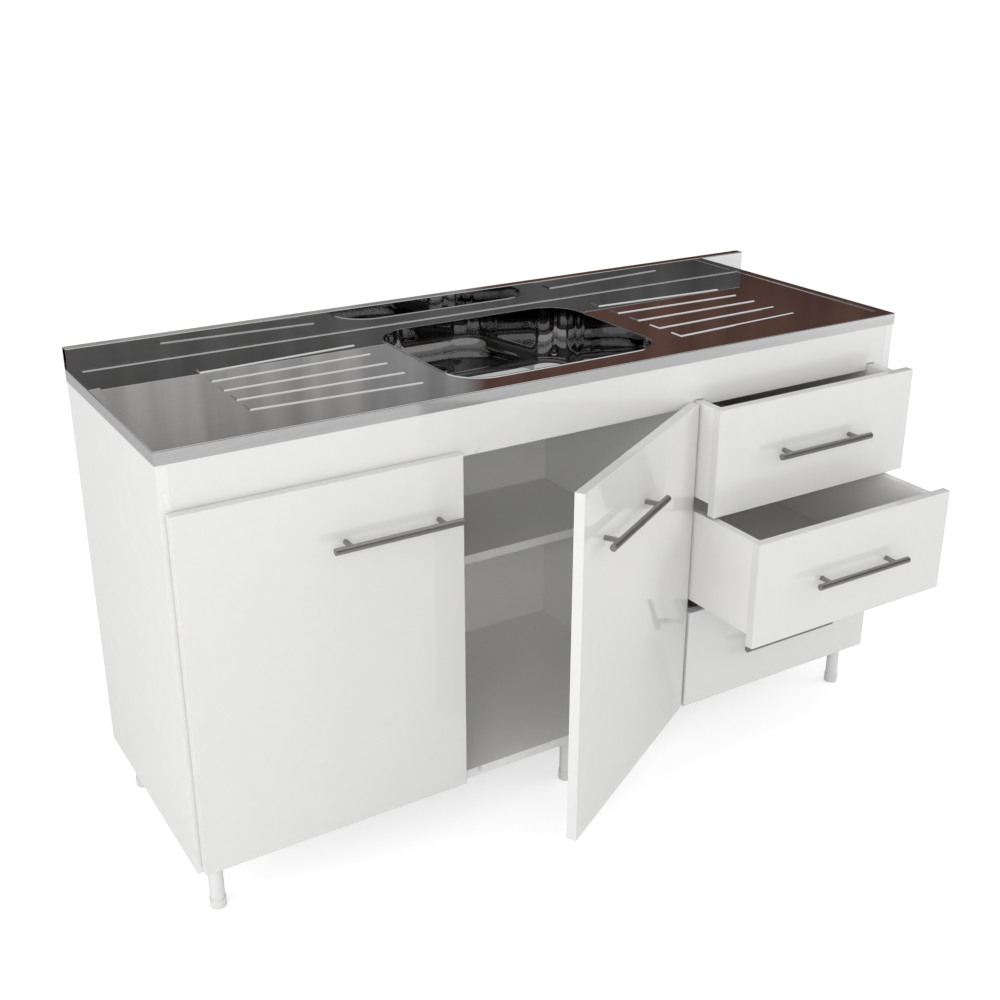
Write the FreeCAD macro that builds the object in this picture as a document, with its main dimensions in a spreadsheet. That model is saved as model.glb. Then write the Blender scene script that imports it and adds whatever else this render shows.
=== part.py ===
import FreeCAD, Part

# Kitchen sink unit: a base cabinet under a pressed stainless worktop with one bowl.
#
# Frame: +X along the unit's length, +Y from its front to the wall, +Z up.
# The origin is on the floor, under the centre of the middle front foot.
# Two hinged doors stand at the left, three drawers at the right.
# Fronts are drawn closed. A door's pieces are drawn about its hinge pivot and a
# drawer's pieces where it is shut, and their Placement opens them.

import os
import re

import Sketcher

document = FreeCAD.newDocument("KitchenSinkUnit")
sheet = document.addObject("Spreadsheet::Sheet", "Sizes")
sub_parts = []


# Driving sizes, in millimetres and degrees
SIZES = {
    # Carcass
    "carcass_length": 1498,  # outside length of the carcass
    "carcass_depth": 476,  # front edges of the sides to their rear edges
    "carcass_height": 717,  # underside of the carcass to the worktop board
    "floor_clearance": 98,  # floor to the underside of the carcass
    "panel_thickness": 18,  # sides, divider, bottom, rails
    "fascia_height": 86,  # board across the front above the doors
    "rear_rail_height": 80,  # board across the back at the top
    "back_panel_thickness": 3,  # hardboard back
    "back_panel_inset": 18,  # rear edges of the sides to the back panel
    "back_groove_depth": 8,  # grooves that hold the back panel
    "groove_clearance": 0.2,  # play of a panel in its groove, each side
    "back_panel_top_gap": 1,  # back panel to the worktop board
    "shelf_thickness": 18,  # half-depth shelf
    "shelf_depth": 256,  # front to back of the shelf
    "shelf_height": 440,  # floor to the top of the shelf
    "shelf_end_gap": 1,  # shelf to the panels, each end and behind
    "shelf_pin_radius": 2.5,  # shelf pin
    "shelf_pin_hole_depth": 9,  # blind hole for a shelf pin
    "shelf_pin_length": 18,  # overall length of a shelf pin
    "shelf_pin_inset": 32,  # shelf pins from the front and rear of the shelf
    "seat_clearance": 0.1,  # play where one fixed piece seats in another

    # Legs
    "front_setback": 27,  # front leg row behind the front of the carcass
    "leg_row_spacing": 410.6,  # front leg row to rear leg row
    "leg_end_inset": 37.3,  # outer leg centres from the carcass ends
    "leg_tube_radius": 12.5,  # leg tube, outside
    "leg_tube_wall": 1.5,  # leg tube wall
    "leg_plate_side": 50,  # square fixing plate of a leg
    "leg_plate_thickness": 4,  # fixing plate of a leg
    "leg_collar_radius": 16,  # collar under the fixing plate
    "leg_collar_height": 12,  # collar under the fixing plate
    "foot_radius": 14,  # fluted plastic foot
    "foot_height": 19,  # fluted plastic foot
    "foot_edge_bevel": 1,  # lower edge of the foot
    "foot_sole": 3,  # solid sole of the foot
    "foot_flute_radius": 1.1,  # flutes round the foot
    "foot_flute_offset": 0.275,  # flutes' centres outside the foot
    "foot_flute_count": 16,  # flutes round the foot

    # Worktop
    "core_thickness": 19,  # board under the steel
    "core_side_gap": 0.8,  # board to the steel lip, all round
    "core_bowl_gap": 5,  # board to the bowl, all round
    "worktop_overhang_side": 1,  # steel beyond the carcass at each end
    "worktop_overhang_front": 1,  # steel ahead of the carcass
    "worktop_overhang_back": 1,  # steel behind the carcass
    "lip_height": 22,  # folded front and side lips
    "steel_thickness": 0.8,  # sheet of the worktop
    "bend_radius": 1.6,  # outside radius of the folds
    "rim_width_front": 30,  # flat rim between the front lip and the deck
    "rim_width_side": 21,  # flat rim between a side lip and the deck
    "rim_width_back": 9.5,  # flat rim between the deck and the upstand
    "deck_recess": 1.5,  # deck below the rim
    "upstand_height": 39,  # upstand above the rim
    "upstand_depth": 21.5,  # folded upstand, front to back

    # Drainer ribs, in a fan on each side of the bowl
    "bowl_divider_gap": 4.33,  # inside of the bowl to the divider
    "bowl_center_back": 231,  # front of the carcass to the bowl's centre
    "rib_center_back": 234.7,  # front of the carcass to the middle rib
    "rib_inner_end": 271.5,  # pattern centre to the inner ends of the ribs
    "rib_outer_end": 571,  # pattern centre to the outer ends of the ribs
    "rib_pitch_inner": 65.6,  # rib to rib at the bowl
    "rib_pitch_outer": 57,  # rib to rib at the ends of the worktop
    "rib_width": 31,  # rib at the deck
    "rib_height": 1.9,  # rib above the deck
    "rib_flank_angle": 48,  # slope of the rib's flanks, from upright

    # Bowl
    "bowl_length": 426,  # inside of the bowl at the deck, along X
    "bowl_width": 348,  # inside of the bowl at the deck, along Y
    "bowl_depth": 130,  # deck to the floor of the bowl
    "bowl_corner_radius": 68,  # corners of the bowl seen from above
    "bowl_floor_radius": 30,  # walls to floor
    "bowl_draft": 2.5,  # slope of the bowl's walls
    "bowl_bead_width": 4,  # raised bead round the bowl
    "bowl_bead_height": 1,  # raised bead round the bowl

    # Waste
    "waste_hole_radius": 36,  # hole in the floor of the bowl
    "waste_flange_radius": 45,  # flange on the floor of the bowl
    "waste_flange_thickness": 1.2,  # flange on the floor of the bowl
    "waste_body_radius": 35.5,  # threaded body under the flange
    "waste_body_wall": 1.2,  # wall of the body
    "waste_body_depth": 35,  # floor of the bowl to the underside of the body
    "waste_spigot_radius": 18,  # outlet spigot
    "waste_spigot_length": 22,  # outlet spigot
    "gasket_radius": 46,  # sealing ring
    "gasket_thickness": 2.5,  # sealing ring
    "waste_nut_radius": 47,  # ring nut
    "waste_nut_height": 9,  # ring nut
    "waste_nut_notch": 4,  # grip notches of the ring nut
    "waste_nut_notch_offset": 1,  # notches' centres outside the nut
    "waste_nut_notch_count": 8,  # grip notches of the ring nut
    "tailpiece_radius": 20,  # outside of the tailpiece, a 40 mm waste pipe
    "tailpiece_wall": 1.8,  # tailpiece
    "tailpiece_length": 33,  # tailpiece
    "basket_radius": 33.8,  # rim of the strainer basket
    "basket_wall": 0.8,  # strainer basket
    "basket_height": 31,  # strainer basket
    "basket_taper": 4,  # rim radius less floor radius
    "basket_lift_gap": 0.3,  # basket above the floor of the waste body
    "basket_knob_radius": 6,  # lifting knob
    "basket_knob_height": 22,  # lifting knob above the basket floor
    "basket_hole_radius": 2,  # holes in the basket floor
    "basket_hole_ring": 19,  # radius of the ring of holes
    "basket_hole_count": 12,  # holes in the ring

    # Doors and drawer fronts
    "front_reveal": 8,  # carcass end to the outer front's edge
    "front_gap": 5,  # front to front, both ways
    "front_thickness": 18,  # doors and drawer fronts
    "front_standoff": 3,  # carcass to the back of a front
    "front_edge_radius": 1,  # eased edges of the fronts
    "fronts_rise": 7,  # underside of the carcass to the fronts' lower edges
    "fascia_overlap": 11.5,  # fronts above the fascia's lower edge
    "bumper_radius": 4,  # soft buffer on the carcass
    "bumper_clearance": 0.3,  # buffer to a shut front
    "bumper_inset": 34,  # door buffers from the door's free edge
    "right_door_angle": 30,  # right door as shown, opened
    "left_door_angle": 0,  # left door as shown, shut

    # Cup hinges with one pin
    "hinge_end_inset": 100,  # hinges from the ends of the door
    "hinge_pivot_inset": 8,  # pivot from the door's hinged edge
    "hinge_pivot_depth": 11.5,  # pivot in front of the door's back
    "cup_radius": 17.5,  # hinge cup, outside
    "cup_edge_distance": 3,  # door's edge to the cup
    "cup_wall": 0.8,  # wall and floor of the cup
    "cup_wing_thickness": 1,  # screw wings of the cup
    "cup_wing_length": 60,  # screw wings, end to end
    "cup_wing_width": 14,  # screw wings, across
    "cup_wing_corner": 5.6,  # rounded corners of the wings
    "cup_wing_offset": 9.5,  # screw wings from the cup's centre
    "hinge_pin_radius": 1.25,  # hinge pin
    "hinge_pin_clearance": 0.3,  # pin in the arm's eye
    "arm_eye_radius": 2.6,  # eye of the hinge arm
    "arm_eye_clearance": 0.4,  # eye to the floor of the cup
    "arm_thickness": 2.5,  # hinge arm
    "arm_width": 12,  # hinge arm, along Z
    "arm_reach": 17,  # pivot to the arm's run beside the panel
    "arm_length": 76,  # pivot to the rear end of the arm
    "plate_wing_thickness": 2,  # wings of the mounting plate
    "plate_wing_length": 50,  # wings of the mounting plate, along Z
    "plate_wing_width": 16,  # wings of the mounting plate, along Y
    "plate_seat_length": 46,  # raised seat of the mounting plate, along Y
    "plate_rear_inset": 2,  # seat's rear end from the arm's rear end

    # Bar handles
    "handle_length": 230,  # handle bar
    "handle_bar_radius": 6,  # handle bar
    "handle_post_radius": 4.5,  # handle posts
    "handle_post_spacing": 168,  # post to post
    "handle_standoff": 28,  # front to the axis of the bar
    "door_handle_drop": 103,  # top of the door to the handle
    "door_handle_inset": 327,  # hinged edge to the middle of the handle
    "door_handle_lean": 32,  # left door's handle nearer to the hinge

    # Drawers
    "drawer_box_length": 420,  # drawer box, front to back
    "drawer_side_thickness": 16,  # drawer sides and back
    "drawer_side_rise": 24,  # front's lower edge to the sides' lower edge
    "drawer_bottom_thickness": 8,  # drawer bottom
    "drawer_bottom_rise": 13,  # sides' lower edge to the drawer bottom
    "drawer_groove_depth": 6,  # grooves that hold the drawer bottom
    "drawer_back_drop": 20,  # drawer back below the top of the sides
    "fascia_notch_clearance": 2,  # top drawer's sides to the notched fascia
    "drawer_1_opening": 50,  # top drawer as shown, opened
    "drawer_2_opening": 176.5,  # middle drawer as shown, opened
    "drawer_3_opening": 0,  # bottom drawer as shown, shut

    # Concealed runners under the drawer
    "runner_side_gap": 5,  # drawer side to the panel beside it
    "runner_sheet": 1.2,  # sheet of the runners
    "runner_length": 400,  # runner members
    "runner_front_inset": 3,  # front of the carcass to the fixed member
    "rail_drop": 9,  # fixed member below the drawer side
    "rail_web_height": 33,  # fixed member's web on the panel
    "rail_channel_width": 20.2,  # drawer side's inner face to the channel's far wall
    "rail_lip_width": 17.2,  # inward lip that holds the rear roller down
    "rail_lip_height": 7.2,  # drawer side's lower edge to the top of the lip
    "rail_lip_notch": 24,  # length without lip round the front roller
    "slide_width": 24,  # member under the drawer bottom
    "slide_leg_drop": 12,  # inner leg of that member
    "slide_foot_inset": 2,  # drawer side's outer face to the foot under it
    "slide_tab_drop": 5,  # rear tab that carries the roller
    "slide_tab_length": 16,  # rear tab that carries the roller
    "roller_radius": 6.5,  # nylon rollers
    "roller_width": 10,  # nylon rollers
    "roller_clearance": 0.3,  # roller to the member that runs on it
    "roller_side_gap": 0.6,  # roller to the member that carries it
    "roller_axle_radius": 2,  # axle boss of a roller
    "roller_end_inset": 9,  # rollers from the ends of the runners
    "packer_thickness": 20.7,  # battens between the right side and the runners
    "packer_height": 45,  # battens between the right side and the runners
}

for row, (size_name, value) in enumerate(SIZES.items(), start=1):
    sheet.set(f"A{row}", size_name.replace("_", " "))
    sheet.set(f"B{row}", str(value))
    sheet.setAlias(f"B{row}", size_name)

document.recompute()

# Places that several pieces share, as expressions of the sizes
FRONT = "(-front_setback)"
REAR = f"({FRONT} + carcass_depth)"
UNDERSIDE = "floor_clearance"
TOP = "(floor_clearance + carcass_height)"
HALF = "(carcass_length / 2)"
INNER_HALF = f"({HALF} - panel_thickness)"
BOTTOM_TOP = f"({UNDERSIDE} + panel_thickness)"
FASCIA_LOW = f"({TOP} - fascia_height)"
BACK_PANEL_FRONT = f"({REAR} - back_panel_inset - back_panel_thickness)"
FRONTS_LOW = f"({UNDERSIDE} + fronts_rise)"
FRONTS_HIGH = f"({FASCIA_LOW} + fascia_overlap)"
FRONTS_HEIGHT = f"({FRONTS_HIGH} - {FRONTS_LOW})"
FRONT_BACK_FACE = f"({FRONT} - front_standoff)"
FRONT_WIDTH = "((carcass_length - 2 * front_reveal - 2 * front_gap) / 3)"
FRONTS_RIGHT = f"({HALF} - front_reveal)"
DRAWER_LEFT = f"({FRONTS_RIGHT} - {FRONT_WIDTH})"
DRAWER_RIGHT = f"({INNER_HALF} - packer_thickness - runner_side_gap)"
DIVIDER_RIGHT = f"({DRAWER_LEFT} - runner_side_gap)"
DIVIDER_LEFT = f"({DIVIDER_RIGHT} - panel_thickness)"
BOWL_X = f"({DIVIDER_LEFT} - bowl_divider_gap - bowl_length / 2)"
RIM_TOP = f"({TOP} + lip_height)"
DECK = f"({RIM_TOP} - deck_recess)"
BOWL_Y = f"({FRONT} + bowl_center_back)"
BOWL_FLOOR = f"({DECK} - bowl_depth)"


def bound(text):
    """Point each size name of an expression at its cell."""
    return re.sub(
        r"[a-z][a-z_0-9]*",
        lambda word: f"Sizes.{word.group(0)}" if word.group(0) in SIZES else word.group(0),
        str(text),
    )


def number(text):
    """Work an expression out, to place a sketch's first geometry near its end."""
    return float(sheet.evalExpression(str(text)))


def keep(label, thing):
    """Note an object as one named sub-part."""
    thing.Label = label
    sub_parts.append(thing)
    return thing


def bind(thing, **expressions):
    """Bind properties; two underscores in a name stand for a dot."""
    for name, text in expressions.items():
        thing.setExpression(name.replace("__", "."), bound(text))
    return thing


def new_body(name):
    """Add an empty body."""
    return document.addObject("PartDesign::Body", name)


# Each drawing plane: the origin plane's role and its normal's sign along the world axis
PLANES = {"XY": ("XY_Plane", 1), "XZ": ("XZ_Plane", -1), "YZ": ("YZ_Plane", 1)}


def new_sketch(body, plane, level="0"):
    """Add a sketch on a plane of the body's origin, at a level along the third axis."""
    role, sign = PLANES[plane]
    support = next(item for item in body.Origin.OriginFeatures if item.Role == role)
    sketch = body.newObject("Sketcher::SketchObject", f"{body.Name}_sketch")
    sketch.AttachmentSupport = [(support, "")]
    sketch.MapMode = "FlatFace"
    bind(sketch, AttachmentOffset__Base__z=f"{sign} * ({level})")
    return sketch


def constrain(sketch, kind, places, text):
    """Add a dimension and bind it to an expression."""
    index = sketch.addConstraint(Sketcher.Constraint(kind, *places, number(text)))
    sketch.setExpression(f"Constraints[{index}]", bound(text))


def draw_polygon(sketch, corners):
    """Draw a closed outline through corners given as pairs of expressions."""
    first = len(sketch.Geometry)
    points = [FreeCAD.Vector(number(across), number(up), 0) for across, up in corners]
    count = len(points)
    for index, point in enumerate(points):
        sketch.addGeometry(Part.LineSegment(point, points[(index + 1) % count]), False)
    for index in range(count):
        following = first + (index + 1) % count
        sketch.addConstraint(Sketcher.Constraint("Coincident", first + index, 2, following, 1))
    for index, (across, up) in enumerate(corners):
        constrain(sketch, "DistanceX", (-1, 1, first + index, 1), across)
        constrain(sketch, "DistanceY", (-1, 1, first + index, 1), up)


def draw_rectangle(sketch, left, low, right, high):
    """Draw a rectangle between two corners given as expressions."""
    draw_polygon(sketch, [(left, low), (right, low), (right, high), (left, high)])


def draw_circle(sketch, across, up, radius):
    """Draw a circle; its centre and radius are expressions."""
    place = FreeCAD.Vector(number(across), number(up), 0)
    normal = FreeCAD.Vector(0, 0, 1)
    index = sketch.addGeometry(Part.Circle(place, normal, number(radius)), False)
    constrain(sketch, "Radius", (index,), radius)
    constrain(sketch, "DistanceX", (-1, 1, index, 3), across)
    constrain(sketch, "DistanceY", (-1, 1, index, 3), up)


def draw_round_rectangle(sketch, center, length, width, radius):
    """Draw a rectangle with round corners about a centre, all as expressions."""
    first = len(sketch.Geometry)
    middle = FreeCAD.Vector(number(center[0]), number(center[1]), 0)
    half_x = number(length) / 2
    half_y = number(width) / 2
    arc_radius = number(radius)
    turns = [(1, 1, 0), (-1, 1, 90), (-1, -1, 180), (1, -1, 270)]
    for sign_x, sign_y, start in turns:
        place = middle + FreeCAD.Vector(sign_x * (half_x - arc_radius), sign_y * (half_y - arc_radius), 0)
        circle = Part.Circle(place, FreeCAD.Vector(0, 0, 1), arc_radius)
        begin = FreeCAD.Units.Quantity(start, "deg").getValueAs("rad").Value
        quarter = FreeCAD.Units.Quantity(90, "deg").getValueAs("rad").Value
        sketch.addGeometry(Part.ArcOfCircle(circle, begin, begin + quarter), False)
    arcs = sketch.Geometry[first:first + 4]
    for index in range(4):
        begin = arcs[index].EndPoint
        end = arcs[(index + 1) % 4].StartPoint
        sketch.addGeometry(Part.LineSegment(begin, end), False)
    for index in range(4):
        line = first + 4 + index
        following = first + (index + 1) % 4
        sketch.addConstraint(Sketcher.Constraint("Tangent", first + index, 2, line, 1))
        sketch.addConstraint(Sketcher.Constraint("Tangent", line, 2, following, 1))
    for index in (0, 2):
        sketch.addConstraint(Sketcher.Constraint("Horizontal", first + 4 + index))
        sketch.addConstraint(Sketcher.Constraint("Vertical", first + 5 + index))
    for index in (1, 2, 3):
        sketch.addConstraint(Sketcher.Constraint("Equal", first, first + index))
    constrain(sketch, "Radius", (first,), radius)
    for sign, index in ((1, 0), (-1, 2)):
        reach_x = f"{center[0]} + {sign} * ({length} / 2 - {radius})"
        reach_y = f"{center[1]} + {sign} * ({width} / 2 - {radius})"
        constrain(sketch, "DistanceX", (-1, 1, first + index, 3), reach_x)
        constrain(sketch, "DistanceY", (-1, 1, first + index, 3), reach_y)


def extrude(body, kind, sketch, length, along=1, draft=None):
    """Pad or pocket a sketch along or against its world axis."""
    sketch_sign = 1
    for role_sign in PLANES.values():
        if sketch.AttachmentSupport[0][0].Role == role_sign[0]:
            sketch_sign = role_sign[1]
    feature = body.newObject(f"PartDesign::{kind}", f"{body.Name}_{kind.lower()}")
    feature.Profile = sketch
    feature.Refine = True
    outward = along * sketch_sign
    feature.Reversed = outward < 0 if kind == "Pad" else outward > 0
    bind(feature, Length=length)
    if draft is not None:
        bind(feature, TaperAngle=f"-({draft})")
    return feature


def prism(name, plane, corners, start, length):
    """Make a body by padding a polygon from a level along the third axis."""
    body = new_body(name)
    sketch = new_sketch(body, plane, start)
    draw_polygon(sketch, corners)
    extrude(body, "Pad", sketch, length)
    return body


def cut_circle(body, plane, across, up, radius, start, length, along=1):
    """Cut a round hole from a level along or against the third axis."""
    sketch = new_sketch(body, plane, start)
    draw_circle(sketch, across, up, radius)
    return extrude(body, "Pocket", sketch, length, along)


def cut_rectangle(body, plane, corners, start, length, along=1):
    """Cut a rectangle from a level along or against the third axis."""
    sketch = new_sketch(body, plane, start)
    draw_rectangle(sketch, *corners)
    return extrude(body, "Pocket", sketch, length, along)


def revolve(name, corners, place_x="0", place_y="0"):
    """Turn a half section of radius and height pairs about an upright axis."""
    body = new_body(name)
    sketch = new_sketch(body, "XZ")
    draw_polygon(sketch, corners)
    feature = body.newObject("PartDesign::Revolution", f"{name}_revolution")
    feature.Profile = sketch
    feature.ReferenceAxis = (sketch, ["V_Axis"])
    bind(body, Placement__Base__x=place_x, Placement__Base__y=place_y)
    return body


def around(body, feature, count, name):
    """Repeat a feature round the body's upright axis."""
    axis = next(item for item in body.Origin.OriginFeatures if item.Role == "Z_Axis")
    pattern = body.newObject("PartDesign::PolarPattern", name)
    pattern.Originals = [feature]
    pattern.Axis = (axis, [""])
    pattern.Angle = 360
    bind(pattern, Occurrences=count)
    body.Tip = pattern
    return pattern


def board(name, length, depth, height, x, y, z):
    """Make a plain rectangular board; sizes and low corner are expressions."""
    box = document.addObject("Part::Box", name)
    bind(box, Length=length, Width=depth, Height=height)
    bind(box, Placement__Base__x=x, Placement__Base__y=y, Placement__Base__z=z)
    return box


def cylinder(name, radius, height, x, y, z, axis="Z"):
    """Make a cylinder along an axis from a start point; all are expressions."""
    rod = document.addObject("Part::Cylinder", name)
    bind(rod, Radius=radius, Height=height)
    turns = {"X": (FreeCAD.Vector(0, 1, 0), 90), "Y": (FreeCAD.Vector(1, 0, 0), -90)}
    if axis in turns:
        rod.Placement = FreeCAD.Placement(FreeCAD.Vector(0, 0, 0), FreeCAD.Rotation(*turns[axis]))
    bind(rod, Placement__Base__x=x, Placement__Base__y=y, Placement__Base__z=z)
    return rod


def group(label, members):
    """Gather equal pieces as separate solids of one sub-part."""
    compound = document.addObject("Part::Compound", label)
    compound.Links = members
    return keep(label, compound)


# ---------------------------------------------------------------- carcass

GROOVE_FRONT = f"({BACK_PANEL_FRONT} - groove_clearance)"
GROOVE_REAR = f"({BACK_PANEL_FRONT} + back_panel_thickness + groove_clearance)"
SHELF_LOW = "(shelf_height - shelf_thickness)"
SHELF_REAR = f"({BACK_PANEL_FRONT} - shelf_end_gap)"
SHELF_FRONT = f"({SHELF_REAR} - shelf_depth)"
PIN_Z = f"({SHELF_LOW} - shelf_pin_radius)"
PIN_ROWS = (f"({SHELF_FRONT} + shelf_pin_inset)", f"({SHELF_REAR} - shelf_pin_inset)")


def side_panel(label, sign):
    """One carcass side with its groove for the back panel."""
    inner = f"{sign} * {INNER_HALF}"
    outer = f"{sign} * {HALF}"
    groove = f"{sign} * ({INNER_HALF} + back_groove_depth)"
    corners = [
        (outer, FRONT),
        (inner, FRONT),
        (inner, GROOVE_FRONT),
        (groove, GROOVE_FRONT),
        (groove, GROOVE_REAR),
        (inner, GROOVE_REAR),
        (inner, REAR),
        (outer, REAR),
    ]
    return keep(label, prism(label, "XY", corners, UNDERSIDE, "carcass_height"))


def drill_pin_holes(body, face, along):
    """Drill the two blind shelf pin holes into a panel's face."""
    radius = "(shelf_pin_radius + seat_clearance)"
    for row in PIN_ROWS:
        cut_circle(body, "YZ", row, PIN_Z, radius, face, "shelf_pin_hole_depth", along)


left_side = side_panel("left_side_panel", -1)
drill_pin_holes(left_side, f"-{INNER_HALF}", -1)
side_panel("right_side_panel", 1)

RAIL_FRONT = f"({BACK_PANEL_FRONT} - panel_thickness)"
RAIL_LOW = f"({TOP} - rear_rail_height)"
FASCIA_BACK = f"({FRONT} + panel_thickness)"

divider_corners = [
    (FRONT, BOTTOM_TOP),
    (f"{GROOVE_FRONT}", BOTTOM_TOP),
    (f"{GROOVE_FRONT}", RAIL_LOW),
    (RAIL_FRONT, RAIL_LOW),
    (RAIL_FRONT, TOP),
    (FASCIA_BACK, TOP),
    (FASCIA_BACK, FASCIA_LOW),
    (FRONT, FASCIA_LOW),
]
divider = keep("bay_divider", prism("bay_divider", "YZ", divider_corners, DIVIDER_LEFT, "panel_thickness"))
drill_pin_holes(divider, DIVIDER_LEFT, 1)

bottom_corners = [
    (FRONT, UNDERSIDE),
    (REAR, UNDERSIDE),
    (REAR, BOTTOM_TOP),
    (GROOVE_REAR, BOTTOM_TOP),
    (GROOVE_REAR, f"{BOTTOM_TOP} - back_groove_depth"),
    (GROOVE_FRONT, f"{BOTTOM_TOP} - back_groove_depth"),
    (GROOVE_FRONT, BOTTOM_TOP),
    (FRONT, BOTTOM_TOP),
]
keep("bottom_panel", prism("bottom_panel", "YZ", bottom_corners, f"-{INNER_HALF}", f"2 * {INNER_HALF}"))

BACK_PANEL_HALF = f"({INNER_HALF} + back_groove_depth - groove_clearance)"
BACK_PANEL_LOW = f"({BOTTOM_TOP} - back_groove_depth + groove_clearance)"
keep("back_panel", board(
    "back_panel", f"2 * {BACK_PANEL_HALF}", "back_panel_thickness",
    f"{TOP} - back_panel_top_gap - {BACK_PANEL_LOW}",
    f"-{BACK_PANEL_HALF}", BACK_PANEL_FRONT, BACK_PANEL_LOW,
))

# The top drawer's sides stand higher than the fascia's lower edge, so it is notched for them.
NOTCH_TOP = f"({FRONTS_HIGH} + fascia_notch_clearance)"


def side_notch(left, right):
    """Corners of one notch in the fascia, from left to right."""
    return [
        (f"{left} - fascia_notch_clearance", FASCIA_LOW),
        (f"{left} - fascia_notch_clearance", NOTCH_TOP),
        (f"{right} + fascia_notch_clearance", NOTCH_TOP),
        (f"{right} + fascia_notch_clearance", FASCIA_LOW),
    ]


fascia_corners = [
    (f"-{INNER_HALF}", FASCIA_LOW),
    *side_notch(DRAWER_LEFT, f"{DRAWER_LEFT} + drawer_side_thickness"),
    *side_notch(f"{DRAWER_RIGHT} - drawer_side_thickness", DRAWER_RIGHT),
    (INNER_HALF, FASCIA_LOW),
    (INNER_HALF, TOP),
    (f"-{INNER_HALF}", TOP),
]
keep("front_fascia", prism("front_fascia", "XZ", fascia_corners, FRONT, "panel_thickness"))

keep("rear_rail", board(
    "rear_rail", f"2 * {INNER_HALF}", "panel_thickness", "rear_rail_height",
    f"-{INNER_HALF}", RAIL_FRONT, RAIL_LOW,
))

keep("shelf", board(
    "shelf", f"{DIVIDER_LEFT} + {INNER_HALF} - 2 * shelf_end_gap", "shelf_depth", "shelf_thickness",
    f"-{INNER_HALF} + shelf_end_gap", SHELF_FRONT, SHELF_LOW,
))

shelf_pins = []
for row_number, row in enumerate(PIN_ROWS, start=1):
    left_start = f"-{INNER_HALF} - shelf_pin_hole_depth"
    right_start = f"{DIVIDER_LEFT} + shelf_pin_hole_depth - shelf_pin_length"
    for side, start in (("left", left_start), ("right", right_start)):
        pin_name = f"shelf_pin_{side}_{row_number}"
        shelf_pins.append(cylinder(pin_name, "shelf_pin_radius", "shelf_pin_length", start, row, PIN_Z, "X"))
group("shelf_pins", shelf_pins)

# ---------------------------------------------------------------- legs

LEG_X = f"({HALF} - leg_end_inset)"
LEG_PLACES = [(x, y) for y in ("0", "leg_row_spacing") for x in (f"-{LEG_X}", "0", LEG_X)]
PLATE_LOW = f"({UNDERSIDE} - leg_plate_thickness)"


def leg_plate(name, x, y):
    """Square fixing plate with the collar that the tube plugs into."""
    body = prism(name, "XY", [
        ("-leg_plate_side / 2", "-leg_plate_side / 2"),
        ("leg_plate_side / 2", "-leg_plate_side / 2"),
        ("leg_plate_side / 2", "leg_plate_side / 2"),
        ("-leg_plate_side / 2", "leg_plate_side / 2"),
    ], PLATE_LOW, "leg_plate_thickness")
    collar = new_sketch(body, "XY", PLATE_LOW)
    draw_circle(collar, "0", "0", "leg_collar_radius")
    draw_circle(collar, "0", "0", "leg_tube_radius + seat_clearance")
    extrude(body, "Pad", collar, "leg_collar_height", -1)
    return bind(body, Placement__Base__x=x, Placement__Base__y=y)


def leg_tube(name, x, y):
    """Round tube from the sole of the foot to the fixing plate."""
    inner = "leg_tube_radius - leg_tube_wall"
    return revolve(name, [
        (inner, "foot_sole"),
        ("leg_tube_radius", "foot_sole"),
        ("leg_tube_radius", PLATE_LOW),
        (inner, PLATE_LOW),
    ], x, y)


def leg_foot(name, x, y):
    """Fluted foot, a socket round the lower end of the tube."""
    socket = "leg_tube_radius + seat_clearance"
    body = revolve(name, [
        ("0", "0"),
        ("foot_radius - foot_edge_bevel", "0"),
        ("foot_radius", "foot_edge_bevel"),
        ("foot_radius", "foot_height"),
        (socket, "foot_height"),
        (socket, "foot_sole"),
        ("0", "foot_sole"),
    ], x, y)
    flute = cut_circle(body, "XY", "foot_radius + foot_flute_offset", "0", "foot_flute_radius",
                       "foot_sole", "foot_height")
    around(body, flute, "foot_flute_count", f"{name}_flutes")
    return body


for label, make in (("leg_plates", leg_plate), ("leg_tubes", leg_tube), ("leg_feet", leg_foot)):
    members = [make(f"{label}_{place}", x, y) for place, (x, y) in enumerate(LEG_PLACES, start=1)]
    group(label, members)

# ---------------------------------------------------------------- worktop

STEEL_HALF = f"({HALF} + worktop_overhang_side)"
STEEL_FRONT = f"({FRONT} - worktop_overhang_front)"
STEEL_REAR = f"({REAR} + worktop_overhang_back)"
UPSTAND_FRONT = f"({STEEL_REAR} - upstand_depth)"
UPSTAND_TOP = f"({RIM_TOP} + upstand_height)"
DECK_UNDER = f"({DECK} - steel_thickness)"
DECK_HALF = f"({STEEL_HALF} - rim_width_side)"
DECK_FRONT = f"({STEEL_FRONT} + rim_width_front)"
DECK_REAR = f"({UPSTAND_FRONT} - rim_width_back)"
BOWL_CENTER = (BOWL_X, BOWL_Y)


def worktop_core():
    """Board under the steel, cut out for the bowl."""
    half = f"({STEEL_HALF} - steel_thickness - core_side_gap)"
    front = f"{STEEL_FRONT} + steel_thickness + core_side_gap"
    rear = f"{STEEL_REAR} - steel_thickness - core_side_gap"
    body = prism("worktop_core", "XY", [
        (f"-{half}", front), (half, front), (half, rear), (f"-{half}", rear),
    ], TOP, "core_thickness")
    opening = new_sketch(body, "XY", TOP)
    growth = "2 * steel_thickness + 2 * core_bowl_gap"
    draw_round_rectangle(opening, BOWL_CENTER, f"(bowl_length + {growth})", f"(bowl_width + {growth})",
                         "(bowl_corner_radius + steel_thickness + core_bowl_gap)")
    extrude(body, "Pocket", opening, "core_thickness")
    return keep("worktop_core", body)


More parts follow.
